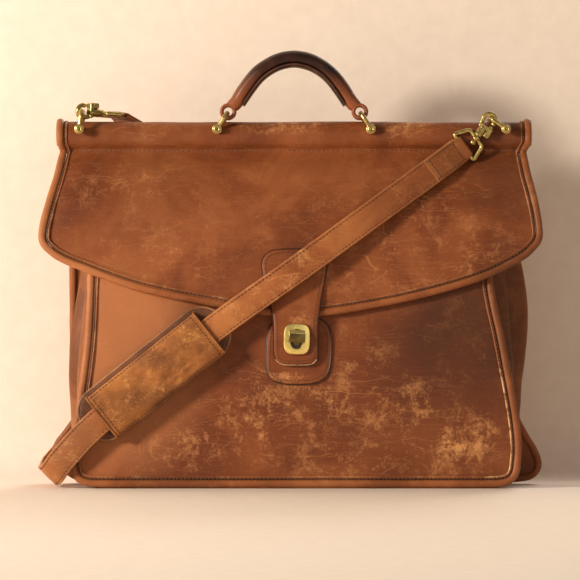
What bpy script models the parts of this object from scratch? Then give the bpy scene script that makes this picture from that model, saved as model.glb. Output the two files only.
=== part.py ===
"""Leather briefcase with a front flap, a turn lock, an arched handle and a shoulder strap.

The case stands on its base with its front towards -Y. The origin is at the middle of the base's underside.
Every size below is in millimetres, and MM turns it into Blender's metres.
"""

import math

import bmesh
import bpy
from mathutils import Matrix, Vector

MM = 0.001
GAP = 0.3  # between two pieces that touch

# Leather
SHEET = 3.0  # panels and flap
GUSSET_SHEET = 2.0
PIPING_R = 3.4  # the bound edges of the case
FLAP_PIPING_R = 3.2
ROLL_SHEET = 2.6

# Case: outer face of the front and back panels, as (height, depth)
FRONT_LINE = [(0, -51), (40, -51), (100, -48.5), (150, -44), (200, -36), (235, -27.5), (252, -21.5)]
BACK_LINE = [(0, 51), (60, 51), (120, 48), (180, 41), (240, 28), (270, 16), (283, 6.8), (288.5, 3.1), (296, 3.1)]
FRONT_TOP = 250.0
BACK_TOP = 292.6
PANEL_BOTTOM = 8.0
BASE_SIZE = (372.0, 91.6, 3.0)
STIFFENER_SIZE = (356.0, 86.0, 2.5)

# Centre lines of the bound edges, as (x, height), from the left top round the bottom to the right top
FRONT_EDGE = [
    (-174, 249), (-175.3, 180), (-177.6, 127), (-184, 75), (-189.1, 42), (-190.4, 24), (-187.5, 11), (-178, 5),
    (-160, 4.2), (160, 4.2), (180, 5), (189.5, 11), (192.2, 24), (192.6, 42), (188.3, 75), (178.6, 127),
    (168.5, 180), (166, 249),
]
BACK_EDGE = [
    (-196, 284), (-194.5, 240), (-194.5, 110), (-191.5, 64), (-199, 48), (-208, 36), (-210.5, 27), (-207, 17.8),
    (-198.8, 10.2), (-190, 5.6), (-176, 4.2), (180, 4.2), (198, 5), (209, 8.5), (213, 17), (209, 30), (201, 46), (195.3, 64),
    (197, 110), (196, 240), (197, 284),
]

# Gussets: widest reach of the outer fold and of the middle ridge, as (height, reach)
OUTER_FOLD = {-1: [(4, 196), (60, 194.5), (107, 197), (180, 188), (250, 178)],
              1: [(4, 199), (63, 197.7), (88, 199), (150, 203.7), (193, 198.5), (250, 186)]}
MIDDLE_RIDGE = {-1: [(4, 190), (107, 188), (180, 180), (250, 172)],
                1: [(4, 196), (88, 192), (150, 187), (180, 184), (250, 178)]}
GUSSET_BOTTOM = 3.6
GUSSET_INSET = 3.3
GUSSET_TOP = 248.0

# Top roll: a bar in a leather sleeve
ROLL_CENTRE_Z = 304.3
ROLL_A = 12.6  # half depth of the sleeve's middle layer
ROLL_B = 11.9  # half height of the sleeve's middle layer
ROLL_HALF = 203.5
BAR_HALF = 199.0
BAR_A = 10.6
BAR_B = 9.9
ROLL_END_THICK = 3.0
PIN_Z = 310.6
PIN_R = 1.5
PIN_HOLE_R = 1.8
PIN_HEAD_R = 3.3
PIN_HEAD = 2.0

# Flap
FLAP_LINE = [(130, -53.4), (150, -51.2), (200, -43.2), (235, -35.3), (250, -30.6), (262, -25.3),
             (273, -20.4), (280, -15.9), (286, -11), (292, -7.3)]
HINGE = (-21.4, 273.6)  # depth and height of the fold line the flap turns on
FLAP_TOP = 272.6
FLAP_EDGE = [
    (-205, 271), (-211, 250), (-216, 230), (-217.8, 217), (-215.5, 210), (-209.5, 204), (-201.5, 198.6),
    (-184.4, 191.2), (-132.7, 173), (-63.6, 158.5), (-29.7, 153), (0, 150.7), (24, 151.5), (56.4, 156.1),
    (109, 166.8), (160, 181.7), (194.2, 198), (206.5, 208), (211.2, 215), (211.9, 223), (210, 238), (206, 257),
    (202.5, 271),
]
FLAP_REACH = {-1: [(190, 201), (206, 207.3), (214, 213.6), (222, 213.5), (250, 207), (273, 200.8)],
              1: [(190, 199.5), (206, 200.8), (214, 207.3), (222, 208), (250, 204), (273, 198.5)]}

# Closure tab, as (height, left, right)
TAB_LINE = [(106.8, -8, 12), (109, -13, 17), (114, -17, 20.2), (125, -17.6, 20.4), (140, -17.6, 20.2),
            (152, -19, 21.4), (170, -23, 24.4), (190, -28, 28), (200, -28.5, 28.5), (204.5, -24, 24), (206, -18, 18)]
TAB_FACE = [(106, -55.6), (118, -57), (130, -57.5), (142, -57.5), (150, -56.9), (158, -55.6), (166, -53.4),
            (175, -51.3), (190, -48.6), (206, -45.9)]
TAB_SHEET = 3.2
PATCH_LINE = [(90, -8, 12), (92.5, -17, 22), (98, -22.5, 28), (108, -24, 31), (125, -23.6, 32), (140, -21, 30),
              (147, -18, 27)]
PATCH_SHEET = 2.4

# Turn lock
LOCK_X = 2.3
LOCK_Z = 128.7
PLATE_SIZE = (23.0, 26.6)
PLATE_THICK = 1.8
PLATE_BACK_SIZE = (18.0, 22.0)
SLOT_SIZE = (11.0, 17.0)
LOCK_BASE_SIZE = (17.0, 20.0)
TOGGLE_SIZE = (14.4, 4.4, 9.2)
TOGGLE_TILT = 4.0

# Handle
HANDLE_ARCH = [(-49, 335), (-41.6, 346), (-33, 357), (-24, 364.5), (-13, 370), (0, 372.3), (13, 370),
               (24, 364.5), (33, 357), (41.6, 346), (49, 335)]
HANDLE_THICK = 14.2
HANDLE_SKIN = 2.2
HANDLE_HALF_MID = 14.0
HANDLE_HALF_END = 11.2
HANDLE_LINING = 2.0
LOOP_CENTRE = (57.4, 326.3)
LOOP_R = 7.3
LOOP_HOLE_R = 4.3
LOOP_HALF = 11.0

# Shackles, which the handle and the snap hooks hang on
WIRE_R = 1.75
HANDLE_PIN_X = 66.9
HANDLE_CROWN = (58.2, 324.4)
HANDLE_LEG_Y = 15.6
STRAP_PINS = {-1: -186.5, 1: 184.0}
STRAP_CROWNS = {-1: (-184.4, 326.6), 1: (170.4, 319.9)}
STRAP_LEG_Y = 21.4
EYE_R = 3.9
EYE_THICK = 3.2

# Snap hooks. Their own frame has its origin at the eye's centre and the ring on -Z.
HOOK_EYE_R = 5.4
HOOK_WIRE_R = 1.6
HOOK_BLOCK = (-4.6, 7.6, -9.0, -6.2)  # left, right, bottom, top
HOOK_BLOCK_DEPTH = 6.0
BARREL_R = 3.3
BARREL_BOTTOM = -16.7
BOLT_X = 5.4
BOLT_R = 1.3
THUMB_LENGTH = 5.0
POST_R = 1.3
BALL_R = 2.4
BALL_Z = -24.0
RING_NEAR = (9.0, -19.5)
RING_FAR = (14.2, -33.0)
RING_HOLE_R = 2.0
BOSS_R = 3.0
HOOK_PLACES = {-1: ((-183.9, -6.0, 326.5), -85.0, 36.0), 1: ((169.5, -17.5, 318.6), 36.0, 0.0)}
RING_TURNS = {-1: (90.0, 0.0), 1: (0.0, 17.0)}  # about the hook's axis, then tipped on the post

# Shoulder strap: middle points from the right ring, over the front, round the lower left corner and up the back
STRAP_WIDTH = 23.5
STRAP_THICK = 3.4
STRAP_ROUTE = [
    ((143.2, -17.5, 291.7), (-0.60, 0.0, 0.80)),
    ((118, -31, 272.8), (-0.59, 0.0, 0.81)),
    ((60, -49, 230.5), (-0.585, 0.0, 0.81)),
    ((0, -61, 187), (-0.585, 0.0, 0.81)),
    ((-74.4, -63.6, 133.6), (-0.60, 0.0, 0.80)),
    ((-163.6, -63.4, 61.5), (-0.64, 0.0, 0.77)),
    ((-196, -60, 29), (-0.70, 0.0, 0.71)),
    ((-208.5, -49, 13), (-0.716, 0.0, 0.698)),
    ((-213.2, -22, 10.4), (-0.716, 0.0, 0.698)),
    ((-213.4, 22, 10.4), (-0.716, 0.0, 0.698)),
    ((-214.2, 50, 12.4), (-0.72, 0.0, 0.69)),
    ((-203, 61.5, 27), (-0.78, 0.0, 0.62)),
    ((-130, 60, 108), (-0.80, 0.0, 0.60)),
    ((-84, 55, 165), (-0.93, 0.0, 0.36)),
    ((-68, 47, 222), (-1.0, 0.0, -0.05)),
    ((-88, 42, 276), (-0.84, 0.1, -0.52)),
    ((-127, 34, 313), (-0.62, 0.6, -0.40)),
    ((-153.3, 16.3, 323.2), (-0.588, 0.809, 0.0)),
]
STRAP_LOOP_IN = 1.9
STRAP_LOOP_OUT = 3.4
STRAP_LOOP_WIDTH = 21.0

# Shoulder pad, a sleeve on the strap's front run
PAD_CENTRE = (-119.0, 97.6)
PAD_ANGLE = 38.6
PAD_BASE_SIZE = (152.0, 51.0)
PAD_BASE_BACK = -56.6
PAD_BASE_THICK = 2.6
PAD_FILLING_SIZE = (112.0, 34.0)
PAD_FILLING_THICK = 1.2
PAD_COVER_SIZE = (118.0, 43.0)
PAD_COVER_SHEET = 2.0
PAD_INNER_HEIGHT = 5.8

LEATHER = (0.30, 0.11, 0.045, 1.0)
DARK_LEATHER = (0.10, 0.035, 0.02, 1.0)
PAD_LEATHER = (0.42, 0.19, 0.06, 1.0)
BRASS = (0.62, 0.45, 0.16, 1.0)
BOARD = (0.35, 0.25, 0.15, 1.0)


def clear_scene():
    for obj in list(bpy.data.objects):
        bpy.data.objects.remove(obj, do_unlink=True)


def material(name, color, metallic=0.0, roughness=0.55):
    made = bpy.data.materials.new(name)
    made.use_nodes = True
    shader = made.node_tree.nodes["Principled BSDF"]
    shader.inputs["Base Color"].default_value = color
    shader.inputs["Metallic"].default_value = metallic
    shader.inputs["Roughness"].default_value = roughness
    return made


def finish(name, bm, color, metallic=0.0, place=None):
    """Makes the object from a mesh in millimetres. place moves a mesh that was built in its own frame."""
    bmesh.ops.recalc_face_normals(bm, faces=bm.faces)
    if bm.calc_volume(signed=True) < 0:
        bmesh.ops.reverse_faces(bm, faces=bm.faces)
    bmesh.ops.scale(bm, vec=(MM, MM, MM), verts=bm.verts)
    mesh = bpy.data.meshes.new(name)
    bm.to_mesh(mesh)
    bm.free()
    mesh.shade_smooth()
    mesh.set_sharp_from_angle(angle=math.radians(35))
    obj = bpy.data.objects.new(name, mesh)
    obj.data.materials.append(material(name, color, metallic))
    bpy.context.scene.collection.objects.link(obj)
    if place is not None:
        obj.matrix_world = place
    return obj


def set_origin(obj, point):
    """Puts the object's origin on its joint axis, at a point in millimetres, without moving its surface."""
    target = Vector(point) * MM
    shift = obj.matrix_world.inverted() @ target
    obj.data.transform(Matrix.Translation(-shift))
    obj.matrix_world = obj.matrix_world @ Matrix.Translation(shift)


def combine(target, tool, operation):
    """Applies a Boolean between two objects and removes the tool."""
    bpy.context.view_layer.update()
    modifier = target.modifiers.new(operation.lower(), "BOOLEAN")
    modifier.object = tool
    modifier.operation = operation
    modifier.solver = "EXACT"
    graph = bpy.context.evaluated_depsgraph_get()
    mesh = bpy.data.meshes.new_from_object(target.evaluated_get(graph))
    target.modifiers.clear()
    target.data = mesh
    bpy.data.objects.remove(tool, do_unlink=True)


def hermite(points, value):
    """Reads a smooth curve through (key, value) points, whose keys rise or fall steadily."""
    if points[0][0] > points[-1][0]:
        points = points[::-1]
    keys = [p[0] for p in points]
    value = min(max(value, keys[0]), keys[-1])
    i = max(k for k in range(len(points) - 1) if keys[k] <= value)
    slopes = [(points[k + 1][1] - points[k][1]) / (keys[k + 1] - keys[k]) for k in range(len(points) - 1)]
    before = slopes[i] if i == 0 else (slopes[i - 1] + slopes[i]) / 2
    after = slopes[i] if i == len(slopes) - 1 else (slopes[i] + slopes[i + 1]) / 2
    span = keys[i + 1] - keys[i]
    t = (value - keys[i]) / span
    a, b = points[i][1], points[i + 1][1]
    rise = 2 * t**3 - 3 * t**2 + 1
    return rise * a + (t**3 - 2 * t**2 + t) * span * before + (1 - rise) * b + (t**3 - t**2) * span * after


def spline(points, steps):
    """A Catmull-Rom curve through the points, with the given steps between neighbours."""
    points = [Vector(p) for p in points]
    padded = [2 * points[0] - points[1]] + points + [2 * points[-1] - points[-2]]
    out = []
    for i in range(1, len(padded) - 2):
        a, b, c, d = padded[i - 1 : i + 3]
        for k in range(steps):
            t = k / steps
            out.append(
                0.5 * (2 * b + (c - a) * t + (2 * a - 5 * b + 4 * c - d) * t**2 + (3 * b - a - 3 * c + d) * t**3)
            )
    out.append(points[-1])
    return out


def loft(bm, rings, cyclic=False):
    """Joins rings of the same number of points into a closed skin."""
    made = [[bm.verts.new(p) for p in ring] for ring in rings]
    pairs = list(zip(made, made[1:]))
    if cyclic:
        pairs.append((made[-1], made[0]))
    for first, second in pairs:
        for i in range(len(first)):
            j = (i + 1) % len(first)
            bm.faces.new((first[i], first[j], second[j], second[i]))
    if not cyclic:
        bm.faces.new(made[0][::-1])
        bm.faces.new(made[-1])


def tube(points, radius, sides=6, cyclic=False, flat=1.0, across=(0, 1, 0)):
    """A round or oval bar along a route. flat scales it along its own second direction."""
    bm = bmesh.new()
    points = [Vector(p) for p in points]
    count = len(points)
    rings = []
    for i, point in enumerate(points):
        ahead = points[(i + 1) % count] if cyclic or i < count - 1 else point
        behind = points[i - 1] if cyclic or i > 0 else point
        run = (ahead - behind).normalized()
        side = Vector(across) - run * run.dot(Vector(across))
        side.normalize()
        other = run.cross(side)
        rings.append([
            point + side * radius * math.cos(2 * math.pi * k / sides)
            + other * radius * flat * math.sin(2 * math.pi * k / sides)
            for k in range(sides)
        ])
    loft(bm, rings, cyclic)
    return bm


def block(size, centre):
    bm = bmesh.new()
    bmesh.ops.create_cube(bm, size=1.0)
    bmesh.ops.scale(bm, vec=size, verts=bm.verts)
    bmesh.ops.translate(bm, vec=centre, verts=bm.verts)
    return bm


def cylinder(radius, length, centre, axis="Z", sides=16):
    bm = bmesh.new()
    bmesh.ops.create_cone(bm, cap_ends=True, segments=sides, radius1=radius, radius2=radius, depth=length)
    turn = {"X": Matrix.Rotation(math.pi / 2, 3, "Y"), "Y": Matrix.Rotation(math.pi / 2, 3, "X"),
            "Z": Matrix.Identity(3)}[axis]
    bmesh.ops.rotate(bm, matrix=turn, verts=bm.verts)
    bmesh.ops.translate(bm, vec=centre, verts=bm.verts)
    return bm


def rounded_outline(width, height, radius, steps=4):
    """Points of a rounded rectangle about the origin."""
    out = []
    for corner in range(4):
        sx = 1 if corner in (0, 3) else -1
        sz = 1 if corner < 2 else -1
        for k in range(steps + 1):
            angle = math.pi / 2 * (corner + k / steps)
            out.append((sx * (width / 2 - radius) + radius * math.cos(angle),
                        sz * (height / 2 - radius) + radius * math.sin(angle)))
    return out


def plate(outline, y_front, y_back):
    """A flat plate with an (x, z) outline, between two depths."""
    bm = bmesh.new()
    loft(bm, [[(x, y_front, z) for x, z in outline], [(x, y_back, z) for x, z in outline]])
    return bm


def sheet(rows, line, front_shift, thick, columns=8):
    """A sheet that follows a depth line. rows holds (height, left, right)."""
    bm = bmesh.new()
    grids = []
    for layer in (front_shift, front_shift + thick):
        grid = []
        for z, left, right in rows:
            y = hermite(line, z) + layer
            grid.append([bm.verts.new((left + (right - left) * k / columns, y, z)) for k in range(columns + 1)])
        grids.append(grid)
    for grid in grids:
        for low, high in zip(grid, grid[1:]):
            for k in range(columns):
                bm.faces.new((low[k], low[k + 1], high[k + 1], high[k]))
    close_rim(bm, grids)
    return bm


def close_rim(bm, grids):
    """Joins the rims of two grids of the same size."""
    rims = []
    for grid in grids:
        rim = list(grid[0]) + [row[-1] for row in grid[1:-1]] + list(grid[-1])[::-1]
        rims.append(rim + [row[0] for row in grid[1:-1]][::-1])
    for k in range(len(rims[0])):
        n = (k + 1) % len(rims[0])
        bm.faces.new((rims[0][k], rims[0][n], rims[1][n], rims[1][k]))


def edge_reach(edge, side, z, shift):
    """How far from the middle the panel inside a bound edge reaches at a height."""
    points = [(pz, abs(px)) for px, pz in edge if px * side > 0 and pz > 7.5]
    points.sort()
    return hermite(points, z) - shift


def panel(name, edge, line, top, bottom_corner, inner_sign):
    heights = [PANEL_BOTTOM, PANEL_BOTTOM + 3, PANEL_BOTTOM + 9, 27, 36, 47, 56, 65, 80, 120, 155, 190, 215, 235, top]
    if top > 260:
        heights[-1:] = [255, 270, 279, 284, 288.5, top]
    shift = PIPING_R + GAP + (0.6 if inner_sign > 0 else 1.0)
    rows = []
    for z in heights:
        pull = bottom_corner * max(0.0, 1 - (z - PANEL_BOTTOM) / 9) ** 2
        rows.append((z, -edge_reach(edge, -1, z, shift + pull), edge_reach(edge, 1, z, shift + pull)))
    shift_y = 0 if inner_sign > 0 else -SHEET
    return finish(name, sheet(rows, line, shift_y, SHEET), LEATHER)


def bound_edge(name, edge, line, middle, radius, steps, sides=6):
    route = [(p.x, hermite(line, p.y) + middle, p.y) for p in spline([(x, z, 0) for x, z in edge], steps)]
    return finish(name, tube(route, radius, sides), LEATHER)


def gusset(side):
    """A folded end: it goes in behind the front edge, out to a ridge, in again and out to the outer fold."""
    name = "gusset_left" if side < 0 else "gusset_right"
    bm = bmesh.new()
    rings = []
    levels = [GUSSET_BOTTOM, 14, 30, 50, 80, 107, 130, 150, 180, 205, 228, GUSSET_TOP]
    half = GUSSET_SHEET / 2
    for z in levels:
        front = hermite(FRONT_LINE, z) + SHEET
        back = hermite(BACK_LINE, z) - SHEET
        depth = back - front
        near = edge_reach(FRONT_EDGE, side, max(z, 11), -PIPING_R)
        far = edge_reach(BACK_EDGE, side, max(z, 62), -PIPING_R)
        outer = hermite(OUTER_FOLD[side], z) - half
        ridge = hermite(MIDDLE_RIDGE[side], z) - half
        line = [(near - 9.5, front + GUSSET_INSET), (near - 3.5, front + 0.13 * depth), (near - 8, front + 0.27 * depth),
                (ridge, front + 0.45 * depth), (ridge - 7, front + 0.58 * depth), (outer - 2, front + 0.7 * depth),
                (outer, front + 0.8 * depth), (far - 10.5, back - GUSSET_INSET)]
        rings.append(thick_line(line, half, side, z))
    loft(bm, rings)
    return finish(name, bm, LEATHER)


def thick_line(line, half, side, z):
    """A closed ring round an open line, in plan."""
    points = [Vector(p) for p in line]
    first, second = [], []
    for i, point in enumerate(points):
        ahead = points[min(i + 1, len(points) - 1)]
        behind = points[max(i - 1, 0)]
        run = (ahead - behind).normalized()
        normal = Vector((run.y, -run.x))
        first.append(point + normal * half)
        second.append(point - normal * half)
    return [(side * p.x, p.y, z) for p in first + second[::-1]]


def make_case():
    finish("base_panel", block(BASE_SIZE, (0, 0, BASE_SIZE[2] / 2)), LEATHER)
    lift = BASE_SIZE[2] + GAP + STIFFENER_SIZE[2] / 2
    finish("base_stiffener", block(STIFFENER_SIZE, (0, 0, lift)), BOARD)
    panel("front_panel", FRONT_EDGE, FRONT_LINE, FRONT_TOP, 9.0, 1)
    panel("back_panel", BACK_EDGE, BACK_LINE, BACK_TOP, 9.0, -1)
    bound_edge("front_binding", FRONT_EDGE, FRONT_LINE, SHEET / 2, PIPING_R - 0.1, 2)
    bound_edge("back_binding", BACK_EDGE, BACK_LINE, -SHEET / 2, PIPING_R - 0.1, 2)
    for side in (-1, 1):
        gusset(side)
    patch = [(z, left, right) for z, left, right in PATCH_LINE]
    finish("lock_patch", sheet(patch, FRONT_LINE, -GAP - PATCH_SHEET, PATCH_SHEET, 6), LEATHER)


def roll_section():
    """Middle line of the roll's sleeve, as (depth, height), from the back seam over the bar to the flap's root."""
    line = [(5.4, 290.2), (5.4, 292.5), (8.6, 295.6)]
    for k in range(13):
        angle = math.radians(-28 + 236 * k / 12)
        line.append((ROLL_A * math.cos(angle), ROLL_CENTRE_Z + ROLL_B * math.sin(angle)))
    line += [(-7.6, 295.4), (-5.6, 291.6)]
    for z in (286, 280, 274.9):
        line.append((hermite(FLAP_LINE, z) + ROLL_SHEET / 2, z))
    return line


def make_top():
    points = [Vector(p) for p in roll_section()]
    outer, inner = [], []
    for i, point in enumerate(points):
        run = (points[min(i + 1, len(points) - 1)] - points[max(i - 1, 0)]).normalized()
        normal = Vector((run.y, -run.x)) * ROLL_SHEET / 2
        outer.append(point + normal)
        inner.append(point - normal)
    ring = outer + inner[::-1]
    bm = bmesh.new()
    loft(bm, [[(x, p.x, p.y) for p in ring] for x in (-ROLL_HALF, -130, 0, 130, ROLL_HALF)])
    roll = finish("top_roll", bm, LEATHER)
    bar_rings = []
    for x in (-BAR_HALF, BAR_HALF):
        bar_rings.append([(x, BAR_A * math.cos(math.radians(a)), ROLL_CENTRE_Z + BAR_B * math.sin(math.radians(a)))
                          for a in range(0, 360, 24)])
    bm = bmesh.new()
    loft(bm, bar_rings)
    bar = finish("top_bar", bm, BOARD)
    for x in (-HANDLE_PIN_X, HANDLE_PIN_X, STRAP_PINS[-1], STRAP_PINS[1]):
        for target in (roll, bar):
            tool = finish("drill", cylinder(PIN_HOLE_R, 60, (x, 0, PIN_Z), "Y", 10), BRASS)
            combine(target, tool, "DIFFERENCE")
    for side in (-1, 1):
        name = "roll_end_left" if side < 0 else "roll_end_right"
        near = side * (ROLL_HALF + GAP)
        far = side * (ROLL_HALF + GAP + ROLL_END_THICK)
        rings = []
        for x, grow in ((near, 1.3), (far, 0.2)):
            rings.append([
                (x, (ROLL_A + grow) * math.cos(math.radians(a)),
                 ROLL_CENTRE_Z + (ROLL_B + grow) * math.sin(math.radians(a)))
                for a in range(0, 360, 20)
            ])
        bm = bmesh.new()
        loft(bm, rings)
        finish(name, bm, LEATHER)


def make_pin(name, x, leg_y):
    """A headed pin through the bar. A strap pin has collars that hold its shackle off the roll."""
    head_from = leg_y + EYE_THICK / 2 + GAP
    pin = finish(name, cylinder(PIN_R, 2 * head_from + 1, (x, 0, PIN_Z), "Y", 10), BRASS, 1.0)
    for sign in (-1, 1):
        centre = (x, sign * (head_from + PIN_HEAD / 2), PIN_Z)
        combine(pin, finish("head", cylinder(PIN_HEAD_R, PIN_HEAD, centre, "Y", 12), BRASS), "UNION")
        if leg_y > HANDLE_LEG_Y:
            low = 13.9
            high = leg_y - EYE_THICK / 2 - GAP
            centre = (x, sign * (low + high) / 2, PIN_Z)
            combine(pin, finish("collar", cylinder(2.6, high - low, centre, "Y", 10), BRASS), "UNION")


def make_shackle(name, pin_x, crown, leg_y):
    """A wire bow with an eye at each foot, which turns on its pin."""
    foot = Vector((pin_x, 0, PIN_Z))
    top = Vector((crown[0], 0, crown[1]))
    rise = (top - foot).normalized()
    start = foot + rise * (EYE_R - 0.8)
    corner = 5.0
    half = []
    half.append(start + Vector((0, -leg_y, 0)))
    half.append(top - rise * corner + Vector((0, -leg_y, 0)))
    for k in (1, 2, 3):
        angle = math.pi / 2 * k / 3
        half.append(top - rise * corner * (1 - math.sin(angle)) + Vector((0, -leg_y + corner * (1 - math.cos(angle)), 0)))
    route = half + [Vector((p.x, -p.y, p.z)) for p in half[::-1]]
    bow = finish(name, tube(route, WIRE_R, 8, across=Vector((0, 1, 0)).cross(rise)), BRASS, 1.0)
    for sign in (-1, 1):
        centre = (pin_x, sign * leg_y, PIN_Z)
        combine(bow, finish("eye", cylinder(EYE_R, EYE_THICK, centre, "Y", 16), BRASS), "UNION")
    tool = finish("drill", cylinder(PIN_HOLE_R, 60, (pin_x, 0, PIN_Z), "Y", 10), BRASS)
    combine(bow, tool, "DIFFERENCE")
    set_origin(bow, foot)


def make_handle():
    points = [Vector((x, 0, z)) for x, z in HANDLE_ARCH]
    cover, core, lining = [], [], []
    skin = HANDLE_SKIN
    low, high = -HANDLE_THICK / 2, HANDLE_THICK / 2
    for i, point in enumerate(points):
        run = (points[min(i + 1, len(points) - 1)] - points[max(i - 1, 0)]).normalized()
        up = Vector((-run.z, 0, run.x))
        share = 1 - abs(i - 5) / 5
        half = HANDLE_HALF_END + (HANDLE_HALF_MID - HANDLE_HALF_END) * min(1.0, 2 * share)
        bottom = low + HANDLE_LINING + GAP

        def ring(outline):
            return [point + up * b + Vector((0, a, 0)) for a, b in outline]

        outer = [(-half, bottom), (-half, high - 5), (-half + 3, high - 1.4), (-half / 2, high), (half / 2, high),
                 (half - 3, high - 1.4), (half, high - 5), (half, bottom)]
        inner = [(half - skin, bottom), (half - skin, high - 5.4), (half - skin - 2, high - skin - 1),
                 (-half + skin + 2, high - skin - 1), (-half + skin, high - 5.4), (-half + skin, bottom)]
        cover.append(ring(outer + inner))
        g = skin + GAP
        core.append(ring([(-half + g, bottom), (half - g, bottom), (half - g, high - 5.8),
                          (half - g - 2, high - g - 1.2), (-half + g + 2, high - g - 1.2), (-half + g, high - 5.8)]))
        lining.append(ring([(-half + 1, low), (half - 1, low), (half - 0.4, low + HANDLE_LINING),
                            (-half + 0.4, low + HANDLE_LINING)]))
    for name, rings, color in (("handle_cover", cover, DARK_LEATHER), ("handle_core", core[1:-1], BOARD),
                               ("handle_lining", lining, LEATHER)):
        bm = bmesh.new()
        loft(bm, rings)
        set_origin(finish(name, bm, color), (-HANDLE_CROWN[0], 0, HANDLE_CROWN[1]))
    for side in (-1, 1):
        make_loop(side)


def make_loop(side):
    """The leather eye at one end of the handle, with a neck that meets the cover."""
    name = "handle_loop_left" if side < 0 else "handle_loop_right"
    cx, cz = side * LOOP_CENTRE[0], LOOP_CENTRE[1]
    loop = finish(name, cylinder(LOOP_R, 2 * LOOP_HALF, (cx, 0, cz), "Y", 20), LEATHER)
    ends = [Vector((side * HANDLE_ARCH[-1][0], 0, HANDLE_ARCH[-1][1])), Vector((cx, 0, cz))]
    before = Vector((side * HANDLE_ARCH[-2][0], 0, HANDLE_ARCH[-2][1]))
    run = (ends[0] - before).normalized()
    out = Vector((-run.z, 0, run.x)) * side
    rings = []
    for point, low, high in ((ends[0] + run * 0.6, -4.4, 6.8), (ends[0].lerp(ends[1], 0.6), -4.0, 6.0)):
        rings.append([point + out * b + Vector((0, a, 0))
                      for a, b in ((-LOOP_HALF, low), (LOOP_HALF, low), (LOOP_HALF, high), (-LOOP_HALF, high))])
    bm = bmesh.new()
    loft(bm, rings)
    combine(loop, finish("neck", bm, LEATHER), "UNION")
    combine(loop, finish("hole", cylinder(LOOP_HOLE_R, 60, (cx, 0, cz), "Y", 16), LEATHER), "DIFFERENCE")
    set_origin(loop, (-HANDLE_CROWN[0], 0, HANDLE_CROWN[1]))


def flap_bottom(x):
    low = [(px, pz) for px, pz in FLAP_EDGE if pz < 200.5]
    return hermite(low, x) + FLAP_PIPING_R + GAP + 0.5


def make_flap():
    """The flap follows the front, and its lower edge drops to the middle."""
    bm = bmesh.new()
    columns = 18
    rows = 7
    grids = []
    for layer in (0.0, SHEET):
        grid = []
        for r in range(rows + 1):
            row = []
            for c in range(columns + 1):
                u = -1 + 2 * c / columns
                side = -1 if u < 0 else 1
                low = 206.5 if abs(u) > 0.999 else flap_bottom(u * 200)
                z = FLAP_TOP - (FLAP_TOP - low) * r / rows
                x = u * hermite(FLAP_REACH[side], z)
                row.append(bm.verts.new((x, hermite(FLAP_LINE, z) + layer, z)))
            grid.append(row)
        grids.append(grid)
    for grid in grids:
        for high, low in zip(grid, grid[1:]):
            for c in range(columns):
                bm.faces.new((high[c], high[c + 1], low[c + 1], low[c]))
    close_rim(bm, grids)
    pivot = (0, HINGE[0], HINGE[1])
    set_origin(finish("flap_panel", bm, LEATHER), pivot)
    binding = bound_edge("flap_binding", FLAP_EDGE, FLAP_LINE, SHEET / 2, FLAP_PIPING_R, 2)
    set_origin(binding, pivot)
    tab = finish("closure_tab", sheet(TAB_LINE, TAB_FACE, 0, TAB_SHEET, 6), LEATHER)
    tab_face = hermite(TAB_FACE, LOCK_Z)
    slot = rounded_outline(*SLOT_SIZE, 5.4, 3)
    slot = [(LOCK_X + x, LOCK_Z + z) for x, z in slot]
    outline = [(LOCK_X + x, LOCK_Z + z) for x, z in rounded_outline(*PLATE_SIZE, 6.5)]
    plate_front = tab_face - GAP - 0.4 - PLATE_THICK
    front = finish("lock_plate", plate(outline, plate_front, plate_front + PLATE_THICK), BRASS, 1.0)
    outline = [(LOCK_X + x, LOCK_Z + z) for x, z in rounded_outline(*PLATE_BACK_SIZE, 5)]
    back_front = tab_face + TAB_SHEET + 1.1
    back = finish("lock_plate_back", plate(outline, back_front, back_front + 1.0), BRASS, 1.0)
    for target in (tab, front, back):
        combine(target, finish("slot", plate(slot, -80, -30), BRASS), "DIFFERENCE")
        set_origin(target, pivot)
    return plate_front


def make_lock(plate_front):
    """The base of the turn lock on the case, its post and the toggle in front of the plate."""
    patch_face = hermite(FRONT_LINE, LOCK_Z) - GAP - PATCH_SHEET - 1.3
    outline = [(LOCK_X + x, LOCK_Z + z) for x, z in rounded_outline(*LOCK_BASE_SIZE, 5)]
    finish("lock_base", plate(outline, patch_face - 1.0, patch_face), BRASS, 1.0)
    inside = hermite(FRONT_LINE, LOCK_Z) + SHEET + 1.6
    finish("lock_washer", plate(outline, inside, inside + 1.0), BRASS, 1.0)
    post_back = patch_face - 1.0 - GAP
    post_front = plate_front - GAP
    depth = post_back - post_front
    post = cylinder(3.4, depth, (LOCK_X, (post_back + post_front) / 2, LOCK_Z - 1.2), "Y", 14)
    toggle = finish("lock_toggle", post, BRASS, 1.0)
    bar = [(x, z + 0.0) for x, z in rounded_outline(TOGGLE_SIZE[0], TOGGLE_SIZE[2], 1.6, 2)]
    tilt = Matrix.Rotation(math.radians(TOGGLE_TILT), 2)
    bar = [tilt @ Vector(p) for p in bar]
    bar = [(LOCK_X + p.x, LOCK_Z + 1.2 + p.y) for p in bar]
    head = finish("head", plate(bar, post_front - TOGGLE_SIZE[1], post_front + 0.1), BRASS)
    combine(toggle, head, "UNION")
    set_origin(toggle, (LOCK_X, post_front, LOCK_Z))


def hook_place(side):
    centre, tilt, turn = HOOK_PLACES[side]
    move = Matrix.Translation(Vector(centre) * MM)
    return move @ Matrix.Rotation(math.radians(turn), 4, "Z") @ Matrix.Rotation(math.radians(tilt), 4, "Y")


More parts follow.
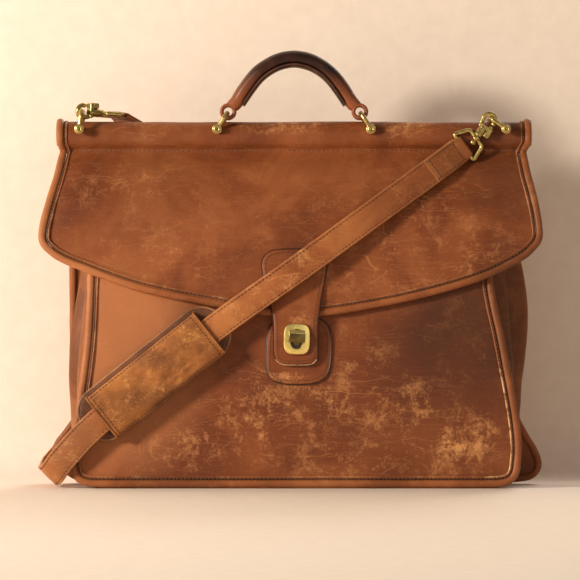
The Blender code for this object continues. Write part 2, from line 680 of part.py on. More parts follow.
def make_hook(side):
    end = "left" if side < 0 else "right"
    place = hook_place(side)
    route = []
    for k in range(13):
        angle = math.radians(-20 + 225 * k / 12)
        route.append((HOOK_EYE_R * math.cos(angle), 0, HOOK_EYE_R * math.sin(angle)))
    route += [(-4.4, 0, -5.0), (-3.0, 0, -8.0)]
    body = finish("hook_body_" + end, tube(route, HOOK_WIRE_R, 8), BRASS, 1.0)
    left, right, bottom, top = HOOK_BLOCK
    size = (right - left, HOOK_BLOCK_DEPTH, top - bottom)
    combine(body, finish("block", block(size, ((left + right) / 2, 0, (bottom + top) / 2)), BRASS), "UNION")
    length = bottom - BARREL_BOTTOM + 1
    barrel = cylinder(BARREL_R, length, (0, 0, BARREL_BOTTOM + length / 2), "Z", 14)
    combine(body, finish("barrel", barrel, BRASS), "UNION")
    combine(body, finish("bore", cylinder(BOLT_R + GAP, 8, (BOLT_X, 0, (bottom + top) / 2), "Z", 12), BRASS), "DIFFERENCE")
    body.matrix_world = place

    bolt_top = -3.9
    plate_top = bottom - GAP
    plate_bottom = plate_top - THUMB_LENGTH
    bolt = cylinder(BOLT_R, bolt_top - plate_top + 0.5, (BOLT_X, 0, (bolt_top + plate_top - 0.5) / 2), "Z", 10)
    trigger = finish("hook_trigger_" + end, bolt, BRASS, 1.0)
    thumb = block((4.0, 6.0, plate_top - plate_bottom), (6.0, 0, (plate_top + plate_bottom) / 2))
    combine(trigger, finish("thumb", thumb, BRASS), "UNION")
    trigger.matrix_world = place

    post_top = BARREL_BOTTOM - GAP
    post = cylinder(POST_R, post_top - BALL_Z, (0, 0, (post_top + BALL_Z) / 2), "Z", 10)
    post = finish("hook_post_" + end, post, BRASS, 1.0)
    ball = bmesh.new()
    bmesh.ops.create_uvsphere(ball, u_segments=12, v_segments=8, radius=BALL_R)
    bmesh.ops.translate(ball, vec=(0, 0, BALL_Z), verts=ball.verts)
    combine(post, finish("ball", ball, BRASS), "UNION")
    post.matrix_world = place
    turn, tip = RING_TURNS[side]
    near = Matrix.Translation((0, 0, RING_NEAR[1] * MM))
    held = near @ Matrix.Rotation(math.radians(turn), 4, "Z") @ Matrix.Rotation(math.radians(tip), 4, "Y")
    ring_place = place @ held @ near.inverted()
    make_ring(end, ring_place)
    make_strap_loop(end, ring_place)


def make_ring(end, place):
    (near, near_z), (far, far_z) = RING_NEAR, RING_FAR
    corners = [(-near, near_z), (near, near_z), (far, far_z), (-far, far_z)]
    route = []
    for i, (x, z) in enumerate(corners):
        here = Vector((x, 0, z))
        before = Vector((corners[i - 1][0], 0, corners[i - 1][1]))
        after = Vector((corners[(i + 1) % 4][0], 0, corners[(i + 1) % 4][1]))
        a = here + (before - here).normalized() * 2.2
        b = here + (after - here).normalized() * 2.2
        route += [a, (a + b) / 4 + here / 2, b]
    ring = finish("strap_ring_" + end, tube(route, HOOK_WIRE_R, 8, cyclic=True), BRASS, 1.0)
    boss = finish("boss", cylinder(BOSS_R, 3.4, (0, 0, near_z), "Z", 14), BRASS)
    combine(ring, boss, "UNION")
    combine(ring, finish("hole", cylinder(RING_HOLE_R, 8, (0, 0, near_z), "Z", 12), BRASS), "DIFFERENCE")
    ring.matrix_world = place


def make_strap_loop(end, place):
    """The strap's end, folded round the ring's far bar and open towards the strap."""
    inner, outer = [], []
    for k in range(11):
        angle = math.radians(-90 + 28 + (360 - 56) * k / 10)
        inner.append((STRAP_LOOP_IN * math.cos(angle), STRAP_LOOP_IN * math.sin(angle)))
        outer.append((STRAP_LOOP_OUT * math.cos(angle), STRAP_LOOP_OUT * math.sin(angle)))
    ring = outer + inner[::-1]
    bm = bmesh.new()
    half = STRAP_LOOP_WIDTH / 2
    loft(bm, [[(x, y, RING_FAR[1] + z) for y, z in ring] for x in (-half, half)])
    finish("strap_loop_" + end, bm, LEATHER, place=place)


def make_strap():
    centres = spline([p for p, _ in STRAP_ROUTE], 3)
    sides = spline([a for _, a in STRAP_ROUTE], 3)
    rings = []
    for i, point in enumerate(centres):
        run = (centres[min(i + 1, len(centres) - 1)] - centres[max(i - 1, 0)]).normalized()
        across = (sides[i] - run * run.dot(sides[i])).normalized() * STRAP_WIDTH / 2
        normal = run.cross(across).normalized() * STRAP_THICK / 2
        rings.append([point + across + normal, point - across + normal, point - across - normal,
                      point + across - normal])
    bm = bmesh.new()
    loft(bm, rings)
    finish("strap", bm, LEATHER)


def make_pad():
    """Base leaf behind the strap, felt between, and a cover sleeve in front. Their own frame lies along X."""
    place = Matrix.Translation(Vector((PAD_CENTRE[0], 0, PAD_CENTRE[1])) * MM)
    place = place @ Matrix.Rotation(math.radians(-PAD_ANGLE), 4, "Y")
    base_front = PAD_BASE_BACK - PAD_BASE_THICK
    outline = rounded_outline(*PAD_BASE_SIZE, 14)
    finish("pad_base", plate(outline, base_front, PAD_BASE_BACK), DARK_LEATHER, place=place)
    felt = rounded_outline(*PAD_FILLING_SIZE, 4, 2)
    finish("pad_filling", plate(felt, base_front - GAP - PAD_FILLING_THICK, base_front - GAP), BOARD, place=place)
    half = PAD_COVER_SIZE[1] / 2
    back = base_front - GAP
    top = back - PAD_FILLING_THICK - PAD_INNER_HEIGHT
    sheet_t = PAD_COVER_SHEET
    ring = [(back, -half), (top + 3, -half), (top - sheet_t + 1.2, -half + 4), (top - sheet_t, -half + 10),
            (top - sheet_t, half - 10), (top - sheet_t + 1.2, half - 4), (top + 3, half), (back, half),
            (back, half - sheet_t), (top + 3.6, half - sheet_t), (top + 1.2, half - 5.4), (top, half - 10.4),
            (top, -half + 10.4), (top + 1.2, -half + 5.4), (top + 3.6, -half + sheet_t), (back, -half + sheet_t)]
    bm = bmesh.new()
    long = PAD_COVER_SIZE[0] / 2
    loft(bm, [[(x, y, z) for y, z in ring] for x in (-long, -long / 3, long / 3, long)])
    finish("pad_cover", bm, PAD_LEATHER, place=place)


def main():
    clear_scene()
    make_case()
    make_top()
    for side, end in ((-1, "left"), (1, "right")):
        make_pin("handle_pin_" + end, side * HANDLE_PIN_X, HANDLE_LEG_Y)
        make_pin("strap_pin_" + end, STRAP_PINS[side], STRAP_LEG_Y)
        crown = (side * HANDLE_CROWN[0], HANDLE_CROWN[1])
        make_shackle("handle_shackle_" + end, side * HANDLE_PIN_X, crown, HANDLE_LEG_Y)
        make_shackle("strap_shackle_" + end, STRAP_PINS[side], STRAP_CROWNS[side], STRAP_LEG_Y)
        make_hook(side)
    make_handle()
    plate_front = make_flap()
    make_lock(plate_front)
    make_strap()
    make_pad()


main()
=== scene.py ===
"""Looks of the leather briefcase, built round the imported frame. Lengths are in millimetres."""

import math

import bmesh
import bpy
from mathutils import Matrix, Vector, noise


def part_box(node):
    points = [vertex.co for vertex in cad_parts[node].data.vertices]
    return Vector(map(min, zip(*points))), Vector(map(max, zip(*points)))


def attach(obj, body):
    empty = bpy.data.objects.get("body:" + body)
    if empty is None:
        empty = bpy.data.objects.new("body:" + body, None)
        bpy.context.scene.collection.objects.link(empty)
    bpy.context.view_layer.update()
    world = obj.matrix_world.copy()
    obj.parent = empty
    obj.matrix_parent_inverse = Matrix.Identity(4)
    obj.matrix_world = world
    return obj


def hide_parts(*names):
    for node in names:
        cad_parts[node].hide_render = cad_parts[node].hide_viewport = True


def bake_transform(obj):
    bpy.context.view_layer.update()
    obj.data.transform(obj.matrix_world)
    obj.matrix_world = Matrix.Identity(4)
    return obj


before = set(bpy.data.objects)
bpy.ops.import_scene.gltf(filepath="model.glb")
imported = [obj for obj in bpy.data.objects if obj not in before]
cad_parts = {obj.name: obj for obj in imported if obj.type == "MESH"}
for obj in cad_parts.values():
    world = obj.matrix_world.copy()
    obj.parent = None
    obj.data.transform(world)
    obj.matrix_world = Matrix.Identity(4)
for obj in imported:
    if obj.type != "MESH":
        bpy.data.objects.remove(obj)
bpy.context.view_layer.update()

MM = 0.001
SHEET = 3.0
PANEL_LOW = 6.0
FRONT_TOP = 250.0
BACK_TOP = 292.4
GUSSET_LOW = 3.6
GUSSET_TOP = 248.0
FLAP_FACE = 0.7  # how far the face of the flap stands in front of its line
TURN_LENGTH = 36  # how much of the strap its turned end covers
TURN_HALF = 9.6
VOXEL = 0.3
PIPING = (3.2, 3.2)  # half width and half thickness of a bound edge
FLAP_PIPING = (3.2, 2.8)
GROOVE_INSET = 4.3
LIP_INSET = 5.7

FRONT_LINE = [(0, -51), (40, -51), (100, -48.5), (150, -44), (200, -36), (235, -27.5), (252, -21.5)]
BACK_LINE = [(0, 51), (60, 51), (120, 48), (180, 41), (240, 28), (270, 16), (283, 6.8), (288.5, 3.1),
             (296, 3.1)]
FRONT_EDGE = [
    (-174, 249), (-175.3, 180), (-177.6, 127), (-184, 75), (-189.1, 42), (-190.4, 24), (-187.5, 11),
    (-178, 5),
    (-160, 4.2), (-140, 4.2), (-90, 4.2), (0, 4.2), (90, 4.2), (140, 4.2),
    (160, 4.2), (180, 5), (189.5, 11), (192.2, 24), (192.6, 42), (188.3, 75), (178.6, 127),
    (168.5, 180), (166, 249),
]
BACK_EDGE = [
    (-196, 284), (-194.5, 240), (-194.5, 110), (-191.5, 64), (-199, 48), (-208, 36), (-210.5, 27),
    (-207, 17.8),
    (-198.8, 10.2), (-190, 5.6), (-176, 4.2), (-155, 4.2), (-100, 4.2), (0, 4.2),
    (100, 4.2), (160, 4.2), (180, 4.2), (198, 4.6), (210, 7.5), (215.5, 16.5), (211.5, 30), (202, 46),
    (195.3, 64), (197, 110), (196, 240), (197, 284),
]
OUTER_FOLD = {-1: [(4, 196), (60, 194.5), (107, 197), (180, 188), (250, 178)],
              1: [(4, 199), (63, 197.7), (88, 199), (150, 203.7), (193, 198.5), (250, 186)]}
MIDDLE_RIDGE = {-1: [(4, 190), (107, 188), (180, 180), (250, 172)],
                1: [(4, 196), (88, 192), (150, 187), (180, 184), (250, 178)]}
FLAP_LINE = [(130, -53.4), (150, -51.2), (200, -43.2), (235, -35.3), (250, -30.6), (262, -25.3),
             (273, -20.4), (280, -15.9), (286, -11), (292, -7.3), (296, -6.8)]
FLAP_EDGE = [
    (-200.6, 292), (-205, 271), (-211, 250), (-216, 230), (-217.8, 217), (-215.5, 210), (-209.5, 204),
    (-201.5, 198.6), (-184.4, 191.2), (-132.7, 173), (-63.6, 158.5), (-29.7, 153), (0, 150.7),
    (24, 151.5),
    (56.4, 156.1), (109, 166.8), (160, 181.7), (194.2, 198), (206.5, 208), (211.2, 215), (211.9, 223),
    (210, 238), (206, 257), (202.5, 271), (199, 292),
]
FLAP_REACH = {-1: [(190, 202), (206, 207.6), (214, 214.2), (222, 214.2), (250, 207.7), (273, 201.5),
                   (296, 195.5)],
              1: [(190, 200), (206, 201.5), (214, 208), (222, 208.6), (250, 204.6), (273, 199.2),
                  (296, 194)]}
ROLL_CENTRE_Z = 304.3
ROLL_A = 13.9
ROLL_B = 13.2
ROLL_HALF = 206.4
TAB_LINE = [(106.8, -6, 10), (107.5, -10.5, 14.8), (109.4, -14, 17.9), (113, -16.6, 20),
            (119, -17.6, 20.5), (127, -17.6, 20.4), (140, -17.6, 20.2),
            (152, -19, 21.4), (170, -23, 24.4), (188, -27.6, 27.8),
            (197, -27.2, 27.4), (202, -24, 24.4), (205, -18, 18.5), (206.2, -10, 11)]
TAB_FACE = [(106, -55.6), (118, -57), (130, -57.5), (142, -57.5), (150, -56.9), (158, -55.6),
            (166, -53.4),
            (175, -51.3), (190, -48.6), (206, -45.9)]
TAB_SHEET = 3.2
PATCH_LINE = [(90, -8, 12), (92.5, -17, 22), (98, -22.5, 28), (108, -24, 31), (125, -23.6, 32),
              (136, -22, 31),
              (142, -19, 27.5), (146, -13, 21), (147.4, -6, 13)]
PATCH_SHEET = 2.4
LOCK = (2.3, 128.7)
HANDLE_ARCH = [(-49, 335), (-41.6, 346), (-33, 357), (-24, 364.5), (-13, 370), (0, 372.3), (13, 370),
               (24, 364.5), (33, 357), (41.6, 346), (49, 335)]
LOOP_CENTRE = (57.4, 326.3)
LOOP_R = 7.4
LOOP_HOLE_R = 3.8
LOOP_HALF = 11.0
HOOK_PLACES = {-1: ((-183.9, -6.0, 326.5), -85.0, 36.0), 1: ((169.5, -17.5, 318.6), 36.0, 0.0)}
RING_TURNS = {-1: (90.0, 0.0), 1: (0.0, 17.0)}
RING_NEAR_Z = -19.5
RING_FAR_Z = -33.0
STRAP_ROUTE = [
    ((143.2, -17.5, 291.7), (-0.60, 0.0, 0.80)),
    ((118, -31, 272.8), (-0.59, 0.0, 0.81)),
    ((60, -49, 230.5), (-0.585, 0.0, 0.81)),
    ((0, -61, 187), (-0.585, 0.0, 0.81)),
    ((-74.4, -63.6, 133.6), (-0.60, 0.0, 0.80)),
    ((-163.6, -63.4, 61.5), (-0.64, 0.0, 0.77)),
    ((-196, -60, 29), (-0.70, 0.0, 0.71)),
    ((-208.5, -49, 13), (-0.716, 0.0, 0.698)),
    ((-213.2, -22, 10.4), (-0.716, 0.0, 0.698)),
    ((-213.4, 22, 10.4), (-0.716, 0.0, 0.698)),
    ((-214.2, 50, 12.4), (-0.72, 0.0, 0.69)),
    ((-203, 61.5, 27), (-0.78, 0.0, 0.62)),
    ((-130, 60, 108), (-0.80, 0.0, 0.60)),
    ((-84, 55, 165), (-0.93, 0.0, 0.36)),
    ((-68, 47, 222), (-1.0, 0.0, -0.05)),
    ((-92, 43, 270), (-0.84, 0.1, -0.52)),
    ((-131, 36, 305), (-0.62, 0.6, -0.40)),
    ((-153.3, 16.3, 323.2), (-0.588, 0.809, 0.0)),
]
PAD_CENTRE = (-119.0, 97.6)
PAD_ANGLE = 38.6
PAD_BASE_SIZE = (151.0, 47.0)
PAD_BASE_SHIFT = 1.8
PAD_BASE_BACK = -56.6
PAD_BASE_THICK = 2.6
PAD_COVER_LONG = 59.0
PAD_COVER_HALF = 21.5
PAD_COVER_BACK = PAD_BASE_BACK - PAD_BASE_THICK - 0.2
PAD_TOP = -68.4


# ---------- geometry helpers ----------

def hermite(points, value):
    """Reads a smooth curve through (key, value) points with rising keys."""
    keys = [p[0] for p in points]
    value = min(max(value, keys[0]), keys[-1])
    i = max(k for k in range(len(points) - 1) if keys[k] <= value)
    slopes = [(points[k + 1][1] - points[k][1]) / (keys[k + 1] - keys[k])
              for k in range(len(points) - 1)]
    before = slopes[i] if i == 0 else (slopes[i - 1] + slopes[i]) / 2
    after = slopes[i] if i == len(slopes) - 1 else (slopes[i] + slopes[i + 1]) / 2
    span = keys[i + 1] - keys[i]
    t = (value - keys[i]) / span
    rise = 2 * t**3 - 3 * t**2 + 1
    bend = (t**3 - 2 * t**2 + t) * span * before + (t**3 - t**2) * span * after
    return rise * points[i][1] + (1 - rise) * points[i + 1][1] + bend


def spline(points, steps):
    """A Catmull-Rom curve through the points."""
    points = [Vector(p) for p in points]
    padded = [2 * points[0] - points[1]] + points + [2 * points[-1] - points[-2]]
    out = []
    for i in range(1, len(padded) - 2):
        a, b, c, d = padded[i - 1 : i + 3]
        for k in range(steps):
            t = k / steps
            out.append(
                0.5 * (2 * b + (c - a) * t + (2 * a - 5 * b + 4 * c - d) * t**2
                       + (3 * b - a - 3 * c + d) * t**3)
            )
    out.append(points[-1])
    return out


def even(points, pitch):
    """The same route with points at an even pitch."""
    points = [Vector(p) for p in points]
    total = sum((b - a).length for a, b in zip(points, points[1:]))
    count = max(2, round(total / pitch))
    step = total / count
    out = [points[0].copy()]
    left = step
    for a, b in zip(points, points[1:]):
        length = (b - a).length
        while left <= length and len(out) < count:
            out.append(a.lerp(b, left / length))
            left += step
        left -= length
    out.append(points[-1].copy())
    return out


def wobble(point, size, height, seed=0.0):
    """A smooth unevenness of about the given size and height."""
    return height * noise.noise(Vector(point) / size + Vector((seed, seed * 1.7, -seed)))


def piece(name, bm, look, body=None, angle=40):
    """Turns a mesh in millimetres into an object that rides on a body."""
    bmesh.ops.recalc_face_normals(bm, faces=bm.faces)
    bmesh.ops.scale(bm, vec=(MM, MM, MM), verts=bm.verts)
    mesh = bpy.data.meshes.new(name)
    bm.to_mesh(mesh)
    bm.free()
    mesh.shade_smooth()
    mesh.set_sharp_from_angle(angle=math.radians(angle))
    obj = bpy.data.objects.new(name, mesh)
    obj.data.materials.append(look)
    bpy.context.scene.collection.objects.link(obj)
    if body:
        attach(obj, body)
    return obj


def skin(bm, rings, closed=False):
    """Wraps a grid round the rings, welds its seam and fills its open ends."""
    around = len(rings[0])
    rows = list(rings) + ([rings[0]] if closed else [])
    made = bmesh.ops.create_grid(bm, x_segments=around, y_segments=len(rows) - 1, size=1)["verts"]
    for index, vert in enumerate(made):
        vert.co = rows[index // (around + 1)][index % (around + 1) % around]
    bmesh.ops.remove_doubles(bm, verts=made, dist=1e-5)
    if not closed:
        bmesh.ops.holes_fill(bm, edges=[e for e in bm.edges if e.is_boundary], sides=0)


def two_sided(bm, front, back):
    """Two grids of the same size, bridged round their rims into one leaf."""
    columns, rows = len(front[0]) - 1, len(front) - 1
    for grid in (front, back):
        made = bmesh.ops.create_grid(bm, x_segments=columns, y_segments=rows, size=1)["verts"]
        for index, vert in enumerate(made):
            vert.co = grid[index // (columns + 1)][index % (columns + 1)]
    bmesh.ops.bridge_loops(bm, edges=[e for e in bm.edges if e.is_boundary])


def soft(value, power):
    """A sine or cosine with its curve squared off."""
    return math.copysign(abs(value) ** power, value)


def directions(points):
    return [(points[min(i + 1, len(points) - 1)] - points[max(i - 1, 0)]).normalized()
            for i in range(len(points))]


def band(points, normals, half_width, half_thick, sides=14, power=1.0, uneven=0.0):
    """A flattened round edge along a route. half_width lies in the surface, half_thick across it."""
    rings = []
    for point, run, normal in zip(points, directions(points), normals):
        up = (normal - run * run.dot(normal)).normalized()
        side = run.cross(up)
        grow = 1 + wobble(point, 17, uneven, 3.0)
        ring = []
        for k in range(sides):
            angle = 2 * math.pi * k / sides
            c, s = math.cos(angle), math.sin(angle)
            c = soft(c, power)
            s = soft(s, power)
            ring.append(point + side * half_width * grow * c + up * half_thick * grow * s)
        rings.append(ring)
    bm = bmesh.new()
    skin(bm, rings)
    return bm


def stitches(bm, points, normals, pitch, length, radius):
    """A row of thread lying on a surface, one long bead to a stitch."""
    route = even(points, pitch)
    row = bmesh.new()
    for count, (a, b) in enumerate(zip(route, route[1:]), 1):
        near = min(range(len(points)), key=lambda k: (points[k] - a).length_squared)
        up = normals[near].normalized()
        run = (b - a).normalized()
        side = run.cross(up).normalized()
        place = Matrix.Translation((a + b) / 2)
        turn = Matrix((side, up, run)).transposed().to_4x4()
        size = Matrix.Diagonal((radius * 1.15, radius, length / 2, 1))
        bmesh.ops.create_uvsphere(row, u_segments=6, v_segments=5, radius=1, matrix=place @ turn @ size)
        if count % 30 == 0 or count == len(route) - 1:
            pour(row, bm)
    row.free()


def pour(source, target):
    """Moves everything in one bmesh to another."""
    mesh = bpy.data.meshes.new("poured")
    source.to_mesh(mesh)
    target.from_mesh(mesh)
    bpy.data.meshes.remove(mesh)
    source.clear()


# ---------- materials ----------

def add(tree, kind, **values):
    node = tree.nodes.new(kind)
    for key, value in values.items():
        setattr(node, key, value)
    return node


def join(tree, source, target):
    tree.links.new(source, target)


def ramp(tree, source, stops):
    node = add(tree, "ShaderNodeValToRGB")
    elements = node.color_ramp.elements
    while len(elements) < len(stops):
        elements.new(0.5)
    for element, (place, color) in zip(elements, stops):
        element.position = place
        element.color = (*color, 1)
    join(tree, source, node.inputs["Fac"])
    return node.outputs["Color"]


def feed(tree, value, socket):
    """Gives a socket a number, a colour or what another node puts out."""
    if isinstance(value, (int, float)):
        socket.default_value = value
    elif isinstance(value, tuple):
        socket.default_value = (*value, 1)
    else:
        join(tree, value, socket)


def mix(tree, factor, a, b):
    node = add(tree, "ShaderNodeMix", data_type="RGBA")
    for value, index in ((factor, 0), (a, 6), (b, 7)):
        feed(tree, value, node.inputs[index])
    return node.outputs[2]


def math_node(tree, operation, a, b=0.0):
    node = add(tree, "ShaderNodeMath", operation=operation)
    feed(tree, a, node.inputs[0])
    feed(tree, b, node.inputs[1])
    return node.outputs[0]


def noise_tex(tree, vector, scale, detail=4.0, rough=0.55, distortion=0.0):
    node = add(tree, "ShaderNodeTexNoise")
    node.inputs["Scale"].default_value = scale
    node.inputs["Detail"].default_value = detail
    node.inputs["Roughness"].default_value = rough
    node.inputs["Distortion"].default_value = distortion
    join(tree, vector, node.inputs["Vector"])
    return node.outputs["Fac"]


def hide_group():
    """Leather surface: mottling, scuffed patches, fine scratches and grain height."""
    group = bpy.data.node_groups.new("hide_surface", "ShaderNodeTree")
    group.interface.new_socket("Vector", in_out="INPUT", socket_type="NodeSocketVector")
    for name in ("Mottle", "Patch", "Scratch", "Height"):
        group.interface.new_socket(name, in_out="OUTPUT", socket_type="NodeSocketFloat")
    source = add(group, "NodeGroupInput").outputs["Vector"]
    out = add(group, "NodeGroupOutput")
    mottle = noise_tex(group, source, 13, 6, 0.6, 0.6)
    broad = noise_tex(group, source, 48, 9, 0.78, 0.35)
    speck = noise_tex(group, source, 420, 5, 0.75, 0.2)
    patch = math_node(group, "ADD", math_node(group, "MULTIPLY", broad, 0.72),
                      math_node(group, "MULTIPLY", speck, 0.28))
    join(group, mottle, out.inputs["Mottle"])
    join(group, patch, out.inputs["Patch"])
    total = None
    for turn, scale in ((0.9, 15), (-0.55, 24), (1.5, 30), (0.15, 36)):
        mapping = add(group, "ShaderNodeMapping")
        mapping.inputs["Rotation"].default_value = (0.2, turn, 0.1)
        mapping.inputs["Scale"].default_value = (1.0, 1.0, 7.0)
        warp = add(group, "ShaderNodeVectorMath", operation="ADD")
        bend = add(group, "ShaderNodeTexNoise")
        bend.inputs["Scale"].default_value = 18
        join(group, source, bend.inputs["Vector"])
        small = add(group, "ShaderNodeVectorMath", operation="SCALE")
        small.inputs["Scale"].default_value = 0.02
        join(group, bend.outputs["Color"], small.inputs[0])
        join(group, source, warp.inputs[0])
        join(group, small.outputs[0], warp.inputs[1])
        join(group, warp.outputs[0], mapping.inputs["Vector"])
        cells = add(group, "ShaderNodeTexVoronoi", feature="DISTANCE_TO_EDGE")
        cells.inputs["Scale"].default_value = scale
        join(group, mapping.outputs["Vector"], cells.inputs["Vector"])
        line = math_node(group, "LESS_THAN", cells.outputs["Distance"], 0.011)
        gate = noise_tex(group, mapping.outputs["Vector"], scale * 0.9, 3, 0.5)
        line = math_node(group, "MULTIPLY", line, math_node(group, "GREATER_THAN", gate, 0.54))
        total = line if total is None else math_node(group, "MAXIMUM", total, line)
    join(group, total, out.inputs["Scratch"])
    grain = add(group, "ShaderNodeTexVoronoi", feature="F1")
    grain.inputs["Scale"].default_value = 780
    join(group, source, grain.inputs["Vector"])
    fine = noise_tex(group, source, 2200, 3, 0.6)
    crease = noise_tex(group, source, 120, 5, 0.6, 0.8)
    height = math_node(group, "MULTIPLY", grain.outputs["Distance"], 0.5)
    height = math_node(group, "ADD", height, math_node(group, "MULTIPLY", fine, 0.35))
    height = math_node(group, "ADD", height, math_node(group, "MULTIPLY", crease, 0.9))
    height = math_node(group, "SUBTRACT", height, math_node(group, "MULTIPLY", total, 0.5))
    join(group, height, out.inputs["Height"])
    return group


HIDE = hide_group()


def start_material(name):
    made = bpy.data.materials.new(name)
    made.use_nodes = True
    tree = made.node_tree
    shader = tree.nodes["Principled BSDF"]
    coords = add(tree, "ShaderNodeTexCoord").outputs["Object"]
    return made, tree, shader, coords


def bump(tree, shader, height, strength, distance):
    node = add(tree, "ShaderNodeBump")
    node.inputs["Strength"].default_value = strength
    node.inputs["Distance"].default_value = distance
    join(tree, height, node.inputs["Height"])
    join(tree, node.outputs["Normal"], shader.inputs["Normal"])


def spread_roughness(tree, shader, source, rough):
    """Roughness between two values, as a mask says."""
    spread = add(tree, "ShaderNodeMapRange")
    spread.inputs["To Min"].default_value = rough[0]
    spread.inputs["To Max"].default_value = rough[1]
    join(tree, source, spread.inputs["Value"])
    join(tree, spread.outputs["Result"], shader.inputs["Roughness"])


def place_mask(tree, coords, centre, reach):
    """1 at a place on the object, falling to 0 at its reach."""
    mapping = add(tree, "ShaderNodeMapping")
    mapping.inputs["Scale"].default_value = [1000 / r for r in reach]
    mapping.inputs["Location"].default_value = [-c / r for c, r in zip(centre, reach)]
    join(tree, coords, mapping.inputs["Vector"])
    ball = add(tree, "ShaderNodeTexGradient", gradient_type="SPHERICAL")
    join(tree, mapping.outputs["Vector"], ball.inputs["Vector"])
    return ball.outputs["Fac"]


def across(tree, coords, axis, low, high):
    """0 at the low place along an axis and 1 at the high one."""
    split = add(tree, "ShaderNodeSeparateXYZ")
    join(tree, coords, split.inputs[0])
    spread = add(tree, "ShaderNodeMapRange")
    spread.inputs["From Min"].default_value = low * MM
    spread.inputs["From Max"].default_value = high * MM
    join(tree, split.outputs[axis], spread.inputs["Value"])
    return spread.outputs["Result"]


def leather(name, dark, base, light, worn, scratch=0.5, patch=0.12, rough=(0.40, 0.58), grain=0.3,
            edge=0.0,
            places=(), painted_shade_and_tone=(), turn=None):
    """Pull-up leather: mottling, scuffs gathered at some places, scratches, and darker or lighter areas,
    most of them painted light and shade, a few the leather's own tone.
    """
    made, tree, shader, coords = start_material(name)
    surface = add(tree, "ShaderNodeGroup", node_tree=HIDE)
    join(tree, coords, surface.inputs["Vector"])
    color = ramp(tree, surface.outputs["Mottle"], [(0.39, dark), (0.5, base), (0.62, light)])
    # Painted light and shade: most of these areas lay a lit or shaded tone into the colour where lamp
    # light falls or misses; a few give the leather's own darker tone.
    for centre, reach, tint, amount in painted_shade_and_tone:
        mask = place_mask(tree, coords, centre, reach)
        mask = ramp(tree, mask, [(0.0, (0, 0, 0)), (0.55, (amount, amount, amount))])
        color = mix(tree, mask, color, tint)
    gathered = None
    for centre, reach, amount in places:
        mask = math_node(tree, "MULTIPLY", place_mask(tree, coords, centre, reach), amount)
        gathered = mask if gathered is None else math_node(tree, "MAXIMUM", gathered, mask)
    wear = surface.outputs["Patch"]
    if gathered is not None:
        wear = math_node(tree, "ADD", wear, math_node(tree, "MULTIPLY", gathered, 0.035))
    scuffs = ramp(tree, wear, [(0.52, (0, 0, 0)), (0.64, (1, 1, 1))])
    lines = math_node(tree, "MULTIPLY", surface.outputs["Scratch"], scratch)
    if gathered is None:
        worn_mask = math_node(tree, "MULTIPLY", scuffs, patch)
        lines = math_node(tree, "MULTIPLY", lines, 0.35)
    else:
        worn_mask = math_node(tree, "MULTIPLY", scuffs, math_node(tree, "ADD", gathered, patch))
        lines = math_node(tree, "MULTIPLY", lines, math_node(tree, "ADD", gathered, 0.22))
    color = mix(tree, worn_mask, color, worn)
    color = mix(tree, lines, color, worn)
    if turn:
        axis, low, high, tint = turn
        color = mix(tree, across(tree, coords, axis, low, high), color, tint)
    if edge:
        ridge = add(tree, "ShaderNodeNewGeometry").outputs["Pointiness"]
        ridge = ramp(tree, ridge, [(0.5, (0, 0, 0)), (0.6, (edge, edge, edge))])
        color = mix(tree, ridge, color, worn)
    join(tree, color, shader.inputs["Base Color"])
    spread_roughness(tree, shader, surface.outputs["Patch"], rough)
    shader.inputs["Specular IOR Level"].default_value = 0.27
    bump(tree, shader, surface.outputs["Height"], grain, 0.0005)
    return made


def metal(name, dark, base, bright, rough, pitted=0.12):
    """Brass with a patina that is rubbed off the ridges."""
    made, tree, shader, coords = start_material(name)
    spots = noise_tex(tree, coords, 210, 6, 0.6, 0.4)
    color = ramp(tree, spots, [(0.36, dark), (0.52, base), (0.72, bright)])
    ridge = add(tree, "ShaderNodeNewGeometry").outputs["Pointiness"]
    ridge = ramp(tree, ridge, [(0.47, (0, 0, 0)), (0.56, (0.8, 0.8, 0.8))])
    join(tree, mix(tree, ridge, color, bright), shader.inputs["Base Color"])
    shader.inputs["Metallic"].default_value = 1.0
    spread_roughness(tree, shader, spots, rough)
    bump(tree, shader, noise_tex(tree, coords, 900, 4, 0.6), pitted, 0.0003)
    return made


def plain(name, first, second, scale, rough, height=0.2, stretch=(1, 1, 1)):
    """A simple two-tone surface for board, felt, thread, cut edges and the ground."""
    made, tree, shader, coords = start_material(name)
    mapping = add(tree, "ShaderNodeMapping")
    mapping.inputs["Scale"].default_value = stretch
    join(tree, coords, mapping.inputs["Vector"])
    tone = noise_tex(tree, mapping.outputs["Vector"], scale, 6, 0.6)
    join(tree, ramp(tree, tone, [(0.35, first), (0.65, second)]), shader.inputs["Base Color"])
    shader.inputs["Roughness"].default_value = rough
    bump(tree, shader, tone, height, 0.0004)
    return made


# Painted light and shade: the first colour is a painted lit tone for areas facing the lamp, the second a
# painted shade for areas turned away from it.
LIT = (0.44, 0.165, 0.062)
PAINTED_SHADE = (0.060, 0.017, 0.006)
BODY = leather("body_leather", (0.145, 0.036, 0.010), (0.205, 0.053, 0.0135), (0.265, 0.079, 0.023),
               (0.52, 0.22, 0.08),
               places=[((2, -5, 316), (60, 34, 14), 1.4), ((96, -5, 314), (50, 34, 14), 1.1),
                       ((70, -45, 205), (130, 60, 75), 0.50), ((150, -40, 205), (60, 60, 45), 0.6),
                       ((-150, -30, 262), (75, 60, 30), 0.45), ((115, -30, 245), (60, 60, 60), 0.5),
                       ((-120, -45, 200), (90, 60, 40), 0.35), ((-140, -5, 312), (60, 34, 14), 0.5),
                       ((3, -58, 141), (15, 12, 13), 1.4), ((-4, -52, 97), (26, 14, 9), 1.5)],
               # painted shade: the right end of the roll and flap darkened as if turned away from the
               # lamp, and the flap's left lightly darkened where the lamp falls brightest
               painted_shade_and_tone=[((190, -20, 290), (60, 80, 100), PAINTED_SHADE, 0.50),
                      ((-160, -25, 275), (110, 90, 80), PAINTED_SHADE, 0.22)])
